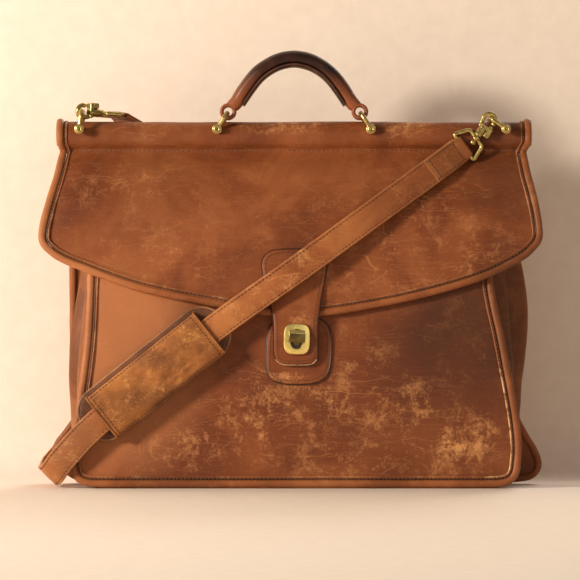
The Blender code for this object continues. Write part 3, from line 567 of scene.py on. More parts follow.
PANEL = leather("panel_leather", (0.145, 0.035, 0.010), (0.195, 0.050, 0.013), (0.26, 0.074, 0.021),
                (0.58, 0.26, 0.09), scratch=0.34,
                places=[((88, -50, 66), (62, 60, 42), 0.9), ((140, -50, 40), (62, 60, 38), 1.2),
                        ((30, -50, 70), (75, 60, 45), 0.8), ((50, -50, 26), (95, 60, 26), 0.8),
                        ((-30, -50, 60), (75, 60, 55), 0.95), ((-95, -50, 38), (70, 60, 34), 0.7),
                        ((45, -50, 112), (60, 60, 40), 0.5)],
                # painted light and shade: a lit tone on the left of the front panel, where the lamp falls,
                # and shaded tones on its right and lower right, away from it
                painted_shade_and_tone=[((-150, -50, 120), (85, 90, 130), LIT, 0.75),
                       ((150, -45, 128), (95, 90, 80), PAINTED_SHADE, 0.85),
                       ((100, -45, 60), (150, 90, 80), (0.115, 0.028, 0.009), 0.5)])
GUSSET = leather("gusset_leather", (0.14, 0.041, 0.011), (0.215, 0.066, 0.018), (0.30, 0.108, 0.032),
                 (0.45, 0.20, 0.07),
                 # painted shade: the right gusset darkened, as it faces away from the lamp
                 scratch=0.2, patch=0.2, painted_shade_and_tone=[((185, -25, 150), (40, 50, 190), PAINTED_SHADE, 0.55)])
BINDING = leather("binding_leather", (0.15, 0.037, 0.010), (0.215, 0.057, 0.015), (0.29, 0.088, 0.026),
                  (0.55, 0.23, 0.08), scratch=0.25, patch=0.25, edge=0.3, grain=0.22,
                  # painted light and shade: the bound edges lighter on the lamp's side and darker on the
                  # far side
                  painted_shade_and_tone=[((-200, -20, 180), (70, 90, 190), LIT, 0.45),
                         ((200, -20, 190), (60, 90, 150), PAINTED_SHADE, 0.40)])
LIP = leather("lip_leather", (0.17, 0.048, 0.014), (0.24, 0.073, 0.022), (0.32, 0.11, 0.036),
              (0.68, 0.40, 0.20),
              scratch=0.2, patch=0.5, places=[((192, -45, 50), (45, 60, 75), 3.0),
                                              ((-120, -30, 280), (60, 50, 40), 1.2)])
STRAP = leather("strap_leather", (0.23, 0.062, 0.016), (0.33, 0.102, 0.028), (0.42, 0.15, 0.044),
                (0.64, 0.31, 0.11),
                scratch=0.5, patch=0.3, edge=0.25, grain=0.3,
                places=[((-10, -60, 185), (90, 40, 80), 0.45), ((-200, -60, 25), (70, 70, 60), 0.2)],
                painted_shade_and_tone=[((110, -30, 268), (85, 60, 70), (0.20, 0.053, 0.015), 0.8),
                       ((-190, -60, 35), (40, 50, 45), (0.20, 0.075, 0.027), 0.6)])
HANDLE = leather("handle_leather", (0.010, 0.004, 0.003), (0.026, 0.009, 0.006), (0.055, 0.017, 0.010),
                 (0.30, 0.10, 0.04), scratch=0.15, patch=0.12, rough=(0.28, 0.45), grain=0.12,
                 turn=(2, 362, 333, (0.25, 0.070, 0.024)))
PAD_BACK = leather("pad_back_leather", (0.075, 0.025, 0.010), (0.12, 0.041, 0.017), (0.18, 0.066, 0.028),
                   (0.34, 0.16, 0.07))
NUBUCK = leather("pad_leather", (0.20, 0.066, 0.016), (0.32, 0.112, 0.027), (0.42, 0.165, 0.042),
                 (0.66, 0.31, 0.09),
                 scratch=0.5, patch=0.75, rough=(0.6, 0.8), grain=0.9,
                 painted_shade_and_tone=[((-105, -65, 78), (75, 20, 14), (0.11, 0.034, 0.010), 0.6),
                        ((-122, -65, 112), (28, 20, 12), (0.16, 0.055, 0.018), 0.6)])
DARK = leather("dark_leather", (0.030, 0.011, 0.006), (0.060, 0.021, 0.011), (0.11, 0.042, 0.020),
               (0.26, 0.13, 0.06),
               scratch=0.2, patch=0.3)
RIM = leather("rim_leather", (0.15, 0.066, 0.028), (0.25, 0.115, 0.052), (0.38, 0.19, 0.090),
              (0.58, 0.34, 0.18),
              scratch=0.2, patch=0.4)
THREAD = plain("thread", (0.040, 0.013, 0.005), (0.10, 0.036, 0.014), 900, 0.7)
SEAM_THREAD = plain("seam_thread", (0.085, 0.028, 0.010), (0.18, 0.065, 0.025), 900, 0.7)
RAW_EDGE = plain("raw_edge", (0.22, 0.10, 0.045), (0.62, 0.42, 0.24), 500, 0.6)
# dark edge paint for cut edges, also used as painted shade in the lock's slot and the pin holes
EDGE_PAINT_AND_SHADE = plain("edge_paint_and_shade", (0.020, 0.009, 0.005), (0.055, 0.024, 0.012), 300, 0.40)
ANTIQUE = metal("antique_brass", (0.12, 0.083, 0.022), (0.34, 0.245, 0.070), (0.74, 0.57, 0.23),
                (0.20, 0.38))
TOGGLE = metal("toggle_brass", (0.030, 0.020, 0.008), (0.065, 0.045, 0.016), (0.22, 0.16, 0.06),
               (0.24, 0.38), 0.04)
# bright polished brass for the lock plate, also a painted highlight on the toggle's upper bevel
BRIGHT_BRASS_AND_HIGHLIGHT = metal("bright_brass", (0.82, 0.60, 0.15), (0.92, 0.70, 0.20), (0.98, 0.80, 0.30), (0.22, 0.34),
               0.03)
BOARD = plain("board", (0.16, 0.11, 0.06), (0.30, 0.22, 0.13), 240, 0.8)
WOOD = plain("bar_wood", (0.18, 0.10, 0.05), (0.36, 0.22, 0.11), 30, 0.6, stretch=(1, 8, 8))
FELT = plain("felt", (0.10, 0.09, 0.07), (0.22, 0.19, 0.15), 1500, 0.95, 0.8)


# ---------- case ----------

def edge_reach(edge, side, z, shift):
    points = sorted((pz, abs(px)) for px, pz in edge if px * side > 0 and pz > 7.5)
    return hermite(points, z) - shift


def case_panel(name, node, edge, line, top, out, look):
    """A crowned leather leaf inside its bound edge. out is -1 for the front, 1 for the back."""
    columns, rows = 72, 56
    front, back = [], []
    for r in range(rows + 1):
        z = PANEL_LOW + (top - PANEL_LOW) * r / rows
        low = max(z, 8.0)
        pull = (9.0 if out < 0 else 3.0) * max(0.0, 1 - (low - 8.0) / 9) ** 2
        reach = (3.4 if out < 0 else 2.2) + pull
        left = edge_reach(edge, -1, low, reach)
        right = edge_reach(edge, 1, low, reach)
        rows_front, rows_back = [], []
        for c in range(columns + 1):
            u = -1 + 2 * c / columns
            x = u * (left if u < 0 else right)
            rim = min((1 - abs(u)) * 185, z - PANEL_LOW)
            crown = 1.1 * (1 - math.exp(-rim / 7)) - 1.0
            belly = 1.4 * (1 - u * u) * math.sin(math.pi * min(z / top, 1.0))
            lift = crown + belly + wobble((x, 0, z), 70, 1.5,
                                          1.0 + out) + wobble((x, 0, z), 26, 0.35, 5.0)
            y = hermite(line, z)
            rows_front.append((x, y + out * lift * 0.55, z))
            rows_back.append((x, y - out * (SHEET - 0.6), z))
        front.append(rows_front)
        back.append(rows_back)
    bm = bmesh.new()
    two_sided(bm, front, back)
    obj = piece(name, bm, look, "case")
    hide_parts(node)
    return obj


def edge_route(edge, line, middle, steps=10):
    return [Vector((p.x, hermite(line, p.y) + middle, p.y))
            for p in spline([(x, z, 0) for x, z in edge], steps)]


def inset_route(edge, line, depth, inset, steps=8):
    """A line on the panel, a little inside its edge."""
    flat = spline([(x, z, 0) for x, z in edge], steps)
    runs = directions(flat)
    route = []
    for point, run in zip(flat, runs):
        inward = Vector((-run.y, run.x, 0))
        at = point + inward * inset
        route.append(Vector((at.x, hermite(line, at.y) + depth, at.y)))
    return route


def bound_edge(name, node, edge, line, out, uneven):
    route = even(edge_route(edge, line, -out * SHEET / 2), 3.0)
    bm = band(route, [Vector((0, out, 0))] * len(route), *PIPING, sides=16, power=0.85, uneven=uneven)
    obj = piece(name, bm, BINDING, "case")
    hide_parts(node)


def gusset(side):
    """A folded end with soft creases and an outer fold that bulges."""
    end = "left" if side < 0 else "right"
    rings = []
    levels = 44
    for r in range(levels + 1):
        z = GUSSET_LOW + (GUSSET_TOP - GUSSET_LOW) * r / levels
        front = hermite(FRONT_LINE, z) + SHEET
        back = hermite(BACK_LINE, z) - SHEET
        depth = back - front
        tuck = 11.0 * max(0.0, 1 - (z - GUSSET_LOW) / 15) ** 2
        near = edge_reach(FRONT_EDGE, side, max(z, 11), -3.4) - tuck
        far = edge_reach(BACK_EDGE, side, max(z, 62), -3.4) - tuck * 0.5
        outer = hermite(OUTER_FOLD[side], z) - 1 - tuck * 0.7
        ridge = hermite(MIDDLE_RIDGE[side], z) - 1 - tuck * 0.8
        line = [(near - 9.5, front + 3.3), (near - 3.5, front + 0.13 * depth),
                (near - 8, front + 0.27 * depth),
                (ridge, front + 0.45 * depth), (ridge - 7, front + 0.58 * depth),
                (outer - 2, front + 0.7 * depth),
                (outer, front + 0.8 * depth), (far - 10.5, back - 3.3)]
        line = [(x, y, 0) for x, y in line]
        points = spline(line, 5)
        runs = directions(points)
        outside, inside = [], []
        for k, (point, run) in enumerate(zip(points, runs)):
            normal = Vector((run.y, -run.x, 0))
            fade = min(k, len(points) - 1 - k, 5) / 5
            lift = fade * (wobble((point.x, point.y * 2, z), 24, 1.3, 7.0 + side) + 0.2)
            spot = point + normal * (0.9 + lift)
            under = point + normal * (lift - 0.9)
            outside.append((side * spot.x, spot.y, z))
            inside.append((side * under.x, under.y, z))
        rings.append(outside + inside[::-1])
    bm = bmesh.new()
    skin(bm, rings)
    obj = piece("gusset_skin_" + end, bm, GUSSET, "case", 60)
    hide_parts("gusset_" + end)


def trimmed_edge(name, body, rows, groove, lip, bend=None):
    """The sewn groove and the fine raised lip inside a bound edge. rows gives points and normals."""
    points, normals = rows(groove)
    made = [piece(name + "_groove", band(points, normals, 0.8, 0.45, 8), DARK, body, 60)]
    bm = bmesh.new()
    stitches(bm, [p + n * 0.45 for p, n in zip(points, normals)], normals, 3.4, 2.4, 0.5)
    made.append(piece(name + "_stitches", bm, SEAM_THREAD, body))
    points, normals = rows(lip)
    bm = band([p + n * 0.25 for p, n in zip(points, normals)], normals, 0.85, 0.8, 8, uneven=0.2)
    made.append(piece(name + "_lip", bm, LIP, body, 60))
    if bend:
        for obj in made:
            bend(obj)


def case_rows(edge, line, out):
    def rows(inset):
        points = even(inset_route(edge, line, out * 0.3, inset), 2.5)
        return points, [Vector((0, out, 0))] * len(points)
    return rows


def case_seams():
    trimmed_edge("front_trim", "case", case_rows(FRONT_EDGE, FRONT_LINE, -1), GROOVE_INSET, LIP_INSET)
    trimmed_edge("back_trim", "case", case_rows(BACK_EDGE, BACK_LINE, 1), GROOVE_INSET, LIP_INSET)


def make_base():
    """The bottom leather: it stops inside the bound edges, wider at the back than at the front."""
    line = [(-166, -49), (-60, -50), (60, -50), (166, -49), (172, -42), (176, 0), (182, 38), (176, 49),
            (80, 50),
            (-80, 50), (-176, 49), (-182, 38), (-176, 0), (-172, -42)]
    outline = spline([(x, y, 0) for x, y in line + line[:1]], 8)[:-1]
    rings = [[Vector((p.x * grow, p.y * grow, z)) for p in outline]
             for z, grow in ((0.0, 0.985), (0.5, 1.0), (3.0, 1.0), (3.4, 0.99))]
    bm = bmesh.new()
    skin(bm, rings)
    obj = piece("base_leather", bm, BODY, "case", 60)
    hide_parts("base_panel")


def make_case():
    make_base()
    case_panel("front_leather", "front_panel", FRONT_EDGE, FRONT_LINE, FRONT_TOP, -1, PANEL)
    case_panel("back_leather", "back_panel", BACK_EDGE, BACK_LINE, BACK_TOP, 1, BODY)
    bound_edge("front_edge", "front_binding", FRONT_EDGE, FRONT_LINE, -1, 0.10)
    bound_edge("back_edge", "back_binding", BACK_EDGE, BACK_LINE, 1, 0.12)
    for side in (-1, 1):
        gusset(side)
    case_seams()
    leaf("patch_leather", "lock_patch", PATCH_LINE, lambda z: hermite(FRONT_LINE, z) - 0.9, PATCH_SHEET,
         "case", BODY)


def leaf(name, node, outline, face, thick, body, look, raw=False):
    """A small leather leaf with a rolled rim, dark painted edge and a row of stitches."""
    columns, rows = 20, 40
    low, high = outline[0][0], outline[-1][0]
    lefts = [(z, left) for z, left, _ in outline]
    rights = [(z, right) for z, _, right in outline]
    front, back = [], []
    for r in range(rows + 1):
        t = r / rows
        z = low + (high - low) * (0.5 - 0.5 * math.cos(math.pi * t))
        left, right = hermite(lefts, z), hermite(rights, z)
        ring_front, ring_back = [], []
        for c in range(columns + 1):
            u = -math.cos(math.pi * c / columns)
            x = (left + right) / 2 + u * (right - left) / 2
            rim = min((1 - abs(u)) * (right - left) / 2, z - low, high - z)
            drop = 0.9 * math.exp(-max(rim, 0) / 0.8)
            ring_front.append((x, face(z) - thick + drop + wobble((x, 0, z), 14, 0.25, 9.0), z))
            ring_back.append((x, face(z), z))
        front.append(ring_front)
        back.append(ring_back)
    bm = bmesh.new()
    two_sided(bm, front, back)
    obj = piece(name, bm, look, body)
    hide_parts(node)
    rim = [Vector((x, 0, z)) for z, x, _ in outline][::-1] + [Vector((x, 0, z)) for z, _, x in outline]
    rim = even(spline(rim + [rim[0]], 6), 1.5)
    middle = Vector((sum(p.x for p in rim) / len(rim), 0, sum(p.z for p in rim) / len(rim)))
    runs = directions(rim)
    painted = [Vector((p.x, face(p.z) - thick / 2, p.z)) for p in rim]
    ahead = [Vector((0, -1, 0))] * len(rim)
    piece(name + "_edge", band(painted, ahead, 0.6, thick * 0.42, 8), EDGE_PAINT_AND_SHADE, body)
    if raw:
        bare = [p + Vector((0, -thick * 0.22, -0.3)) for p in painted if p.z < low + 5]
        piece(name + "_raw_edge", band(bare, [Vector((0, -1, 0))] * len(bare), 0.55, thick * 0.24, 8,
                                       uneven=0.2),
              RAW_EDGE, body)
    line = []
    for point, run in zip(rim, runs):
        inward = Vector((run.z, 0, -run.x))
        if inward.dot(middle - point) < 0:
            inward.negate()
        at = point + inward * 3.1
        line.append(Vector((at.x, face(min(max(at.z, low), high)) - thick - 0.02, at.z)))
    bm = bmesh.new()
    stitches(bm, line, ahead, 3.0, 2.2, 0.36)
    piece(name + "_stitches", bm, THREAD, body)


# ---------- top roll and flap ----------

def roll_ring(x, shrink):
    """The roll's outline at one place along it: round over the bar, drawn in to the seam below."""
    points = []
    for k in range(33):
        angle = math.radians(-38 + 256 * k / 32)
        points.append(Vector((0, ROLL_A * math.cos(angle), ROLL_CENTRE_Z + ROLL_B * math.sin(angle))))
    points += [Vector((0, y, z)) for y, z in ((-8.6, 294.6), (-7.3, 292.6), (-7.0, 290.6), (0, 289.9),
                                              (6.4, 290.4),
                                                (7.0, 292.6), (8.8, 294.8))]
    centre = Vector((0, 0, ROLL_CENTRE_Z))
    ring = []
    for point in points:
        at = centre + (point - centre) * shrink
        at.x = math.copysign(min(abs(x), 199.0 if point.z < 296 else ROLL_HALF), x)
        out = Vector((0, at.y, at.z - ROLL_CENTRE_Z)).normalized()
        ring.append(at + out * (wobble((x, at.y, at.z), 42, 0.55,
                                       2.0) + wobble((x, at.y, at.z), 12, 0.15, 4.0)))
    return ring


def make_roll():
    rings = []
    places = [-ROLL_HALF + 2 * ROLL_HALF * k / 120 for k in range(121)]
    for x in places:
        rest = ROLL_HALF - abs(x)
        rings.append(roll_ring(x, 1.0 if rest > 4
                               else 0.93 + 0.07 * math.sqrt(max(0.0, 1 - (1 - rest / 4) ** 2))))
    bm = bmesh.new()
    skin(bm, rings)
    obj = piece("roll_leather", bm, BODY, "case", 60)
    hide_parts("top_roll", "roll_end_left", "roll_end_right")
    bm = bmesh.new()
    for depth, normal in ((-7.9, Vector((0, -1, 0))), (7.6, Vector((0, 1, 0)))):
        route = [Vector((x, depth, 292.4 + wobble((x, 0, 0), 60, 0.8, 6.0)))
                 for x in range(-196, 197, 4)]
        stitches(bm, route, [normal] * len(route), 4.2, 3.0, 0.5)
    piece("roll_stitches", bm, SEAM_THREAD, "case")


def flap_y(z):
    return hermite(FLAP_LINE, z)


def make_flap():
    """One leaf from the seam under the roll, over the fold line, down to the bound edge."""
    columns, rows = 96, 84
    low_edge = sorted((px, pz) for px, pz in FLAP_EDGE if pz < 200.5)
    front, back = [], []
    for r in range(rows + 1):
        t = r / rows
        row_front, row_back = [], []
        for c in range(columns + 1):
            u = -1 + 2 * c / columns
            side = -1 if u < 0 else 1
            blend = max(0.0, (abs(u) - 0.985) / 0.015)
            low = (hermite(low_edge, u * 201) + 2.6) * (1 - blend) + 206.0 * blend
            z = 293.6 - (293.6 - low) * t
            x = u * hermite(FLAP_REACH[side], z)
            rim = min((1 - abs(u)) * 205, z - low)
            pinch = -0.7 * math.exp(-rim / 3.5) - 0.8 * math.exp(-((rim - 7.2) / 1.3) ** 2) * (rim < 11)
            free = min(1.0, max(0.0, (275 - z) / 40))
            sag = free * (wobble((x, 0, z), 85, 2.4, 11.0) + wobble((x, 0, z), 30, 0.8, 12.0))
            y = flap_y(z)
            row_front.append((x, y - FLAP_FACE - pinch * 0.7 - sag * 0.5, z))
            row_back.append((x, y + SHEET - FLAP_FACE - sag * 0.3, z))
        front.append(row_front)
        back.append(row_back)
    bm = bmesh.new()
    two_sided(bm, front, back)
    obj = piece("flap_leather", bm, BODY, None, 60)
    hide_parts("flap_panel")
    bend_with_flap(obj)
    make_flap_edge()
    leaf("tab_leather", "closure_tab", TAB_LINE, lambda z: hermite(TAB_FACE, z) + TAB_SHEET, TAB_SHEET,
         "flap", BODY, raw=True)


def bend_with_flap(obj):
    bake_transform(obj)


def flap_rows(inset):
    """A line over both roll ends and round the flap, a little inside the flap's edge, with its normals."""
    over = {}
    for side in (-1, 1):
        route = []
        for k in range(24):
            angle = math.radians(-30 + 232 * k / 23)
            out = Vector((0, math.cos(angle), math.sin(angle)))
            point = Vector((side * (203.6 - inset), (ROLL_A + 0.3) * out.y,
                            ROLL_CENTRE_Z + (ROLL_B + 0.3) * out.z))
            route.append((point, out))
        over[side] = route
    flat = spline([(x, z, 0) for x, z in FLAP_EDGE], 8)
    below = []
    for point, run in zip(flat, directions(flat)):
        at = point + Vector((-run.y, run.x, 0)) * inset
        depth = SHEET / 2 - FLAP_FACE if inset == 0 else -0.75
        below.append((Vector((at.x, flap_y(at.y) + depth, at.y)), Vector((0, -1, -0.15)).normalized()))
    whole = over[-1] + below + over[1][::-1]
    points = even([p for p, _ in whole], 2.5)
    normals = []
    for point in points:
        near = min(whole, key=lambda pair: (pair[0] - point).length_squared)
        normals.append(near[1])
    return points, normals


def make_flap_edge():
    points, normals = flap_rows(0)
    obj = piece("flap_edge", band(points, normals, *FLAP_PIPING, sides=16, power=0.85, uneven=0.12),
                BINDING, None, 60)
    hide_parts("flap_binding")
    bend_with_flap(obj)
    trimmed_edge("flap_trim", None, flap_rows, GROOVE_INSET, LIP_INSET, bend_with_flap)


# ---------- handle ----------

def make_handle():
    """Rolled cover, darker on its crown, with a lining strip under it and an eye at each end."""
    arch = spline([(x, 0, z) for x, z in HANDLE_ARCH], 6)
    count = len(arch)
    runs = directions(arch)
    cover, lining = [], []
    for i, (point, run) in enumerate(zip(arch, runs)):
        up = Vector((-run.z, 0, run.x))
        share = 1 - abs(2 * i / (count - 1) - 1)
        half = 11.2 + 2.8 * min(1.0, 2.2 * share)
        tall = 7.4 - 0.7 * (1 - min(1.0, 6 * share))
        ring = []
        for k in range(28):
            angle = 2 * math.pi * k / 28
            c, s = math.cos(angle), math.sin(angle)
            height = tall * soft(s, 0.8) if s > 0 else -4.6 * abs(s) ** 0.6
            spot = point + up * height + Vector((0, half * soft(c, 0.7), 0))
            ring.append(spot + up * wobble(spot, 9, 0.25, 13.0))
        cover.append(ring)
        under = []
        for a, b in ((-1, -4.3), (-1.02, -5.6), (-0.9, -6.9), (-0.5, -7.3), (0.5, -7.3), (0.9, -6.9),
                     (1.02, -5.6),
                     (1, -4.3)):
            under.append(point + up * b + Vector((0, a * (half - 0.8), 0)))
        lining.append(under)
    bm = bmesh.new()
    skin(bm, cover)
    obj = piece("handle_skin", bm, HANDLE, "handle", 60)
    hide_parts("handle_cover", "handle_core")
    bm = bmesh.new()
    skin(bm, lining)
    obj = piece("handle_under", bm, DARK, "handle", 60)
    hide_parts("handle_lining")
    for sign in (-1, 1):
        bm = bmesh.new()
        line = [p + Vector((-r.z, 0, r.x)) * -5.2 + Vector((0, sign * 13.2, 0)) for p,
                r in zip(arch, runs)][6:-6]
        stitches(bm, line, [Vector((0, sign, 0))] * len(line), 3.4, 2.4, 0.4)
        piece("handle_stitches_" + ("back" if sign > 0 else "front"), bm, THREAD, "handle")
    for side in (-1, 1):
        handle_eye(side)


def handle_eye(side):
    """The leather turned into an eye round the shackle, with its cut end under the handle."""
    centre = Vector((side * LOOP_CENTRE[0], 0, LOOP_CENTRE[1]))
    start = Vector((side * HANDLE_ARCH[-1][0], 0, HANDLE_ARCH[-1][1]))
    rings = []
    steps = 40
    middle = (LOOP_R + LOOP_HOLE_R) / 2
    thick = (LOOP_R - LOOP_HOLE_R) / 2
    for k in range(steps):
        angle = 2 * math.pi * k / steps
        out = Vector((math.cos(angle), 0, math.sin(angle)))
        ring = []
        for j in range(16):
            q = 2 * math.pi * j / 16
            c, s = math.cos(q), math.sin(q)
            across = (LOOP_HALF - 0.3) * soft(c, 0.45)
            ring.append(centre + out * (middle + thick * soft(s, 0.7)) + Vector((0, across, 0)))
        rings.append(ring)
    bm = bmesh.new()
    skin(bm, rings, closed=True)
    before = Vector((side * HANDLE_ARCH[-2][0], 0, HANDLE_ARCH[-2][1]))
    run = (start - before).normalized()
    neck = []
    for point, direction, low, high, half in ((start - run * 2, run, -5.4, 6.8, 11.2),
                                              (start, run, -5.6, 6.8, 11.2),
                                              (start.lerp(centre, 0.35), (centre - start).normalized(),
                                               -5.6, 6.6, 11),
                                              (start.lerp(centre, 0.6), (centre - start).normalized(),
                                               -4.6, 6.2, 10.8)):
        out = Vector((-direction.z, 0, direction.x)) * side
        ring = []
        for j in range(16):
            q = 2 * math.pi * j / 16
            c, s = math.cos(q), math.sin(q)
            tall = (high if s > 0 else -low) * soft(s, 0.6)
            ring.append(point + out * tall + Vector((0, half * soft(c, 0.6), 0)))
        neck.append(ring)
    skin(bm, neck)
    end = "left" if side < 0 else "right"
    obj = piece("handle_eye_" + end, bm, HANDLE, "handle", 60)
    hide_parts("handle_loop_" + end)


# ---------- strap and pad ----------

def strap_frame():
    centres = spline([p for p, _ in STRAP_ROUTE], 12)
    sides = spline([a for _, a in STRAP_ROUTE], 12)
    runs = directions(centres)
    across = [(side - run * run.dot(side)).normalized() for side, run in zip(sides, runs)]
    normals = [run.cross(a).normalized() for run, a in zip(runs, across)]
    return centres, runs, across, normals


STRAP_SECTION = [(-11.75, 0.0), (-11.6, 1.0), (-11.0, 1.5), (-10.2, 1.55), (-9.3, 1.2), (-8.4, 1.55),
                 (-4, 1.75),
                 (0, 1.8), (4, 1.75), (8.4, 1.55), (9.3, 1.2), (10.2, 1.55), (11.0, 1.5), (11.6, 1.0)]


def make_strap():
    centres, runs, across, normals = strap_frame()
    section = STRAP_SECTION + [(-a, -b) for a, b in STRAP_SECTION]
    rings = []
    for i, point in enumerate(centres):
        curl = wobble(point, 60, 0.5, 21.0)
        rings.append([point + across[i] * a + normals[i] * (b + curl + wobble(point + across[i] * a, 20,
                                                                              0.3, 22.0))
                      for a, b in section])
    bm = bmesh.new()
    skin(bm, rings)
    obj = piece("strap_leather", bm, STRAP, "case", 60)
    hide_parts("strap")
    bm = bmesh.new()
    for face in (1, -1):
        for edge in (-9.3, 9.3):
            line = [p + a * edge + n * face * 1.35 for p, a, n in zip(centres, across, normals)]
            stitches(bm, line, [n * face for n in normals], 3.6, 2.6, 0.4)
    piece("strap_stitches", bm, THREAD, "case")
    for side in (-1, 1):
        strap_turn(side, centres, runs, across, normals)


def hook_matrix(side):
    centre, tilt, turn = HOOK_PLACES[side]
    spin, tip = RING_TURNS[side]
    near = Matrix.Translation((0, 0, RING_NEAR_Z))
    held = near @ Matrix.Rotation(math.radians(spin), 4,
                                  "Z") @ Matrix.Rotation(math.radians(tip), 4, "Y")
    place = Matrix.Translation(centre) @ Matrix.Rotation(math.radians(turn), 4, "Z")
    return place @ Matrix.Rotation(math.radians(tilt), 4, "Y") @ held @ near.inverted()


def strap_turn(side, centres, runs, across, normals):
    """The strap's end, turned round the ring's bar and sewn to itself in a box."""
    end = "left" if side < 0 else "right"
    bar = hook_matrix(side) @ Vector((0, 0, RING_FAR_Z))
    order = list(range(len(centres))) if side > 0 else list(range(len(centres)))[::-1]
    used, gone = [], 0.0
    for previous, i in zip(order, order[1:]):
        used.append(previous)
        gone += (centres[i] - centres[previous]).length
        if gone > TURN_LENGTH:
            break
    first = order[0]
    away = (centres[first] - centres[used[2]]).normalized()
    normal = normals[first]
    wide = across[first]
    start = centres[first] + away * 0.3
    outline = [(start + normal * 0.4, wide, normal, TURN_HALF),
               (start.lerp(bar, 0.5) + normal * 1.9, wide, normal, TURN_HALF)]
    for k in range(1, 12):
        angle = math.pi * k / 12
        out = normal * math.cos(angle) + away * math.sin(angle)
        outline.append((bar + out * 2.7, wide, out, TURN_HALF))
    outline += [(centres[i] - normals[i] * 2.55, across[i], -normals[i], 11.4) for i in used]
    rings = []
    for point, a, n, half in outline:
        ring = []
        for w, t in ((-1, 0.0), (-0.97, 0.65), (-0.86, 0.8), (0.86, 0.8), (0.97, 0.65), (1, 0.0),
                     (0.97, -0.65),
                     (0.86, -0.8), (-0.86, -0.8), (-0.97, -0.65)):
            ring.append(point + a * half * w + n * t)
        rings.append(ring)
    bm = bmesh.new()
    skin(bm, rings)
    obj = piece("strap_turn_" + end, bm, STRAP, "ring_" + end, 60)
    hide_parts("strap_loop_" + end)
    bm = bmesh.new()
    for edge in (-9.0, 9.0):
        line = [centres[i] + across[i] * edge - normals[i] * 3.35 for i in used]
        stitches(bm, line, [-normals[i] for i in used], 3.2, 2.4, 0.42)
    for i, face, lift in ((used[1], 1, 1.75), (used[-2], 1, 1.75), (used[1], -1, 3.35),
                          (used[-2], -1, 3.35)):
        line = [centres[i] + across[i] * w + normals[i] * face * lift for w in range(-9, 10, 3)]
        stitches(bm, line, [normals[i] * face] * len(line), 3.0, 2.2, 0.45)
    piece("strap_turn_stitches_" + end, bm, THREAD, "ring_" + end)


def pad_point(along, y, over):
    angle = math.radians(PAD_ANGLE)
    return Vector((PAD_CENTRE[0] + along * math.cos(angle) - over * math.sin(angle), y,
                   PAD_CENTRE[1] + along * math.sin(angle) + over * math.cos(angle)))


def rounded(width, height, radius, steps=10):
    out = []
    for corner in range(4):
        sx = 1 if corner in (0, 3) else -1
        sz = 1 if corner < 2 else -1
        for k in range(steps + 1):
            angle = math.pi / 2 * (corner + k / steps)
            out.append((sx * (width / 2 - radius) + radius * math.cos(angle),
                        sz * (height / 2 - radius) + radius * math.sin(angle)))
    return out


def make_pad():
    make_pad_leaf()
    profile = pad_profile()
    make_pad_sleeve(profile)
    make_pad_seams(profile)


def make_pad_leaf():
    """The leaf behind the strap, with its bound rim."""
    outline = [(x, z + PAD_BASE_SHIFT) for x, z in rounded(*PAD_BASE_SIZE, 21)]
    middle = PAD_BASE_BACK - PAD_BASE_THICK / 2
    rings = []
    for grow, y in ((-3, 1.2), (-0.6, 1.1), (0, 0.4), (0, -0.4), (-0.6, -1.1), (-3, -1.2)):
        rings.append([pad_point(x * (1 + grow / 76), middle + y, z * (1 + grow / 25)) for x,
                      z in outline])
    bm = bmesh.new()
    skin(bm, rings)
    obj = piece("pad_leaf", bm, PAD_BACK, "pad", 50)
    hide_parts("pad_base")
    closed = [pad_point(x, middle, z) for x, z in outline]
    closed.append(closed[0].copy())
    rim = even(closed, 2.5)
    edge = piece("pad_leaf_edge", band(rim, [Vector((0, -1, 0))] * len(rim), 1.1, 1.6, 10, uneven=0.15),
                 RIM, "pad")


def pad_profile():
    """The cover across its length, over the strap from edge to edge, as (y, over) points."""
    half, back = PAD_COVER_HALF, PAD_COVER_BACK
    outer = [(back, -half), (PAD_TOP + 5, -half), (PAD_TOP + 2.6, -half + 1.4),
             (PAD_TOP + 0.9, -half + 5),
             (PAD_TOP + 0.2, -half + 11), (PAD_TOP, -4), (PAD_TOP, 4), (PAD_TOP + 0.2, half - 11),
             (PAD_TOP + 0.9, half - 5), (PAD_TOP + 2.6, half - 1.4), (PAD_TOP + 5, half), (back, half)]
    return [(p.x, p.y) for p in spline([(a, b, 0) for a, b in outer], 5)]


def make_pad_sleeve(outer):
    """The soft creased cover that the strap runs through."""
    long, half, back = PAD_COVER_LONG, PAD_COVER_HALF, PAD_COVER_BACK
    rings = []
    for r in range(91):
        along = -long + 2 * long * r / 90
        ring_out, ring_in = [], []
        rest = min(long - abs(along), 8) / 8
        for y, over in outer:
            side = min(1.0, (half - abs(over)) / 9)
            ridge = 1 - abs(noise.noise(Vector((along / 13, over / 6, 3.1))) * 2)
            crease = (ridge - 0.6) * 0.7 + wobble((along, 0, over), 6, 0.45,
                                                  31.0) + wobble((along, 0, over), 34, 1.2, 33.0)
            lift = rest * side * crease
            ring_out.append(pad_point(along, y - lift, over))
            ring_in.append(pad_point(along, min(y + 1.8, back), over * (half - 1.9) / half))
        rings.append(ring_out + ring_in[::-1])
    bm = bmesh.new()
    skin(bm, rings)
    obj = piece("pad_sleeve", bm, NUBUCK, "pad", 60)
    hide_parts("pad_cover")


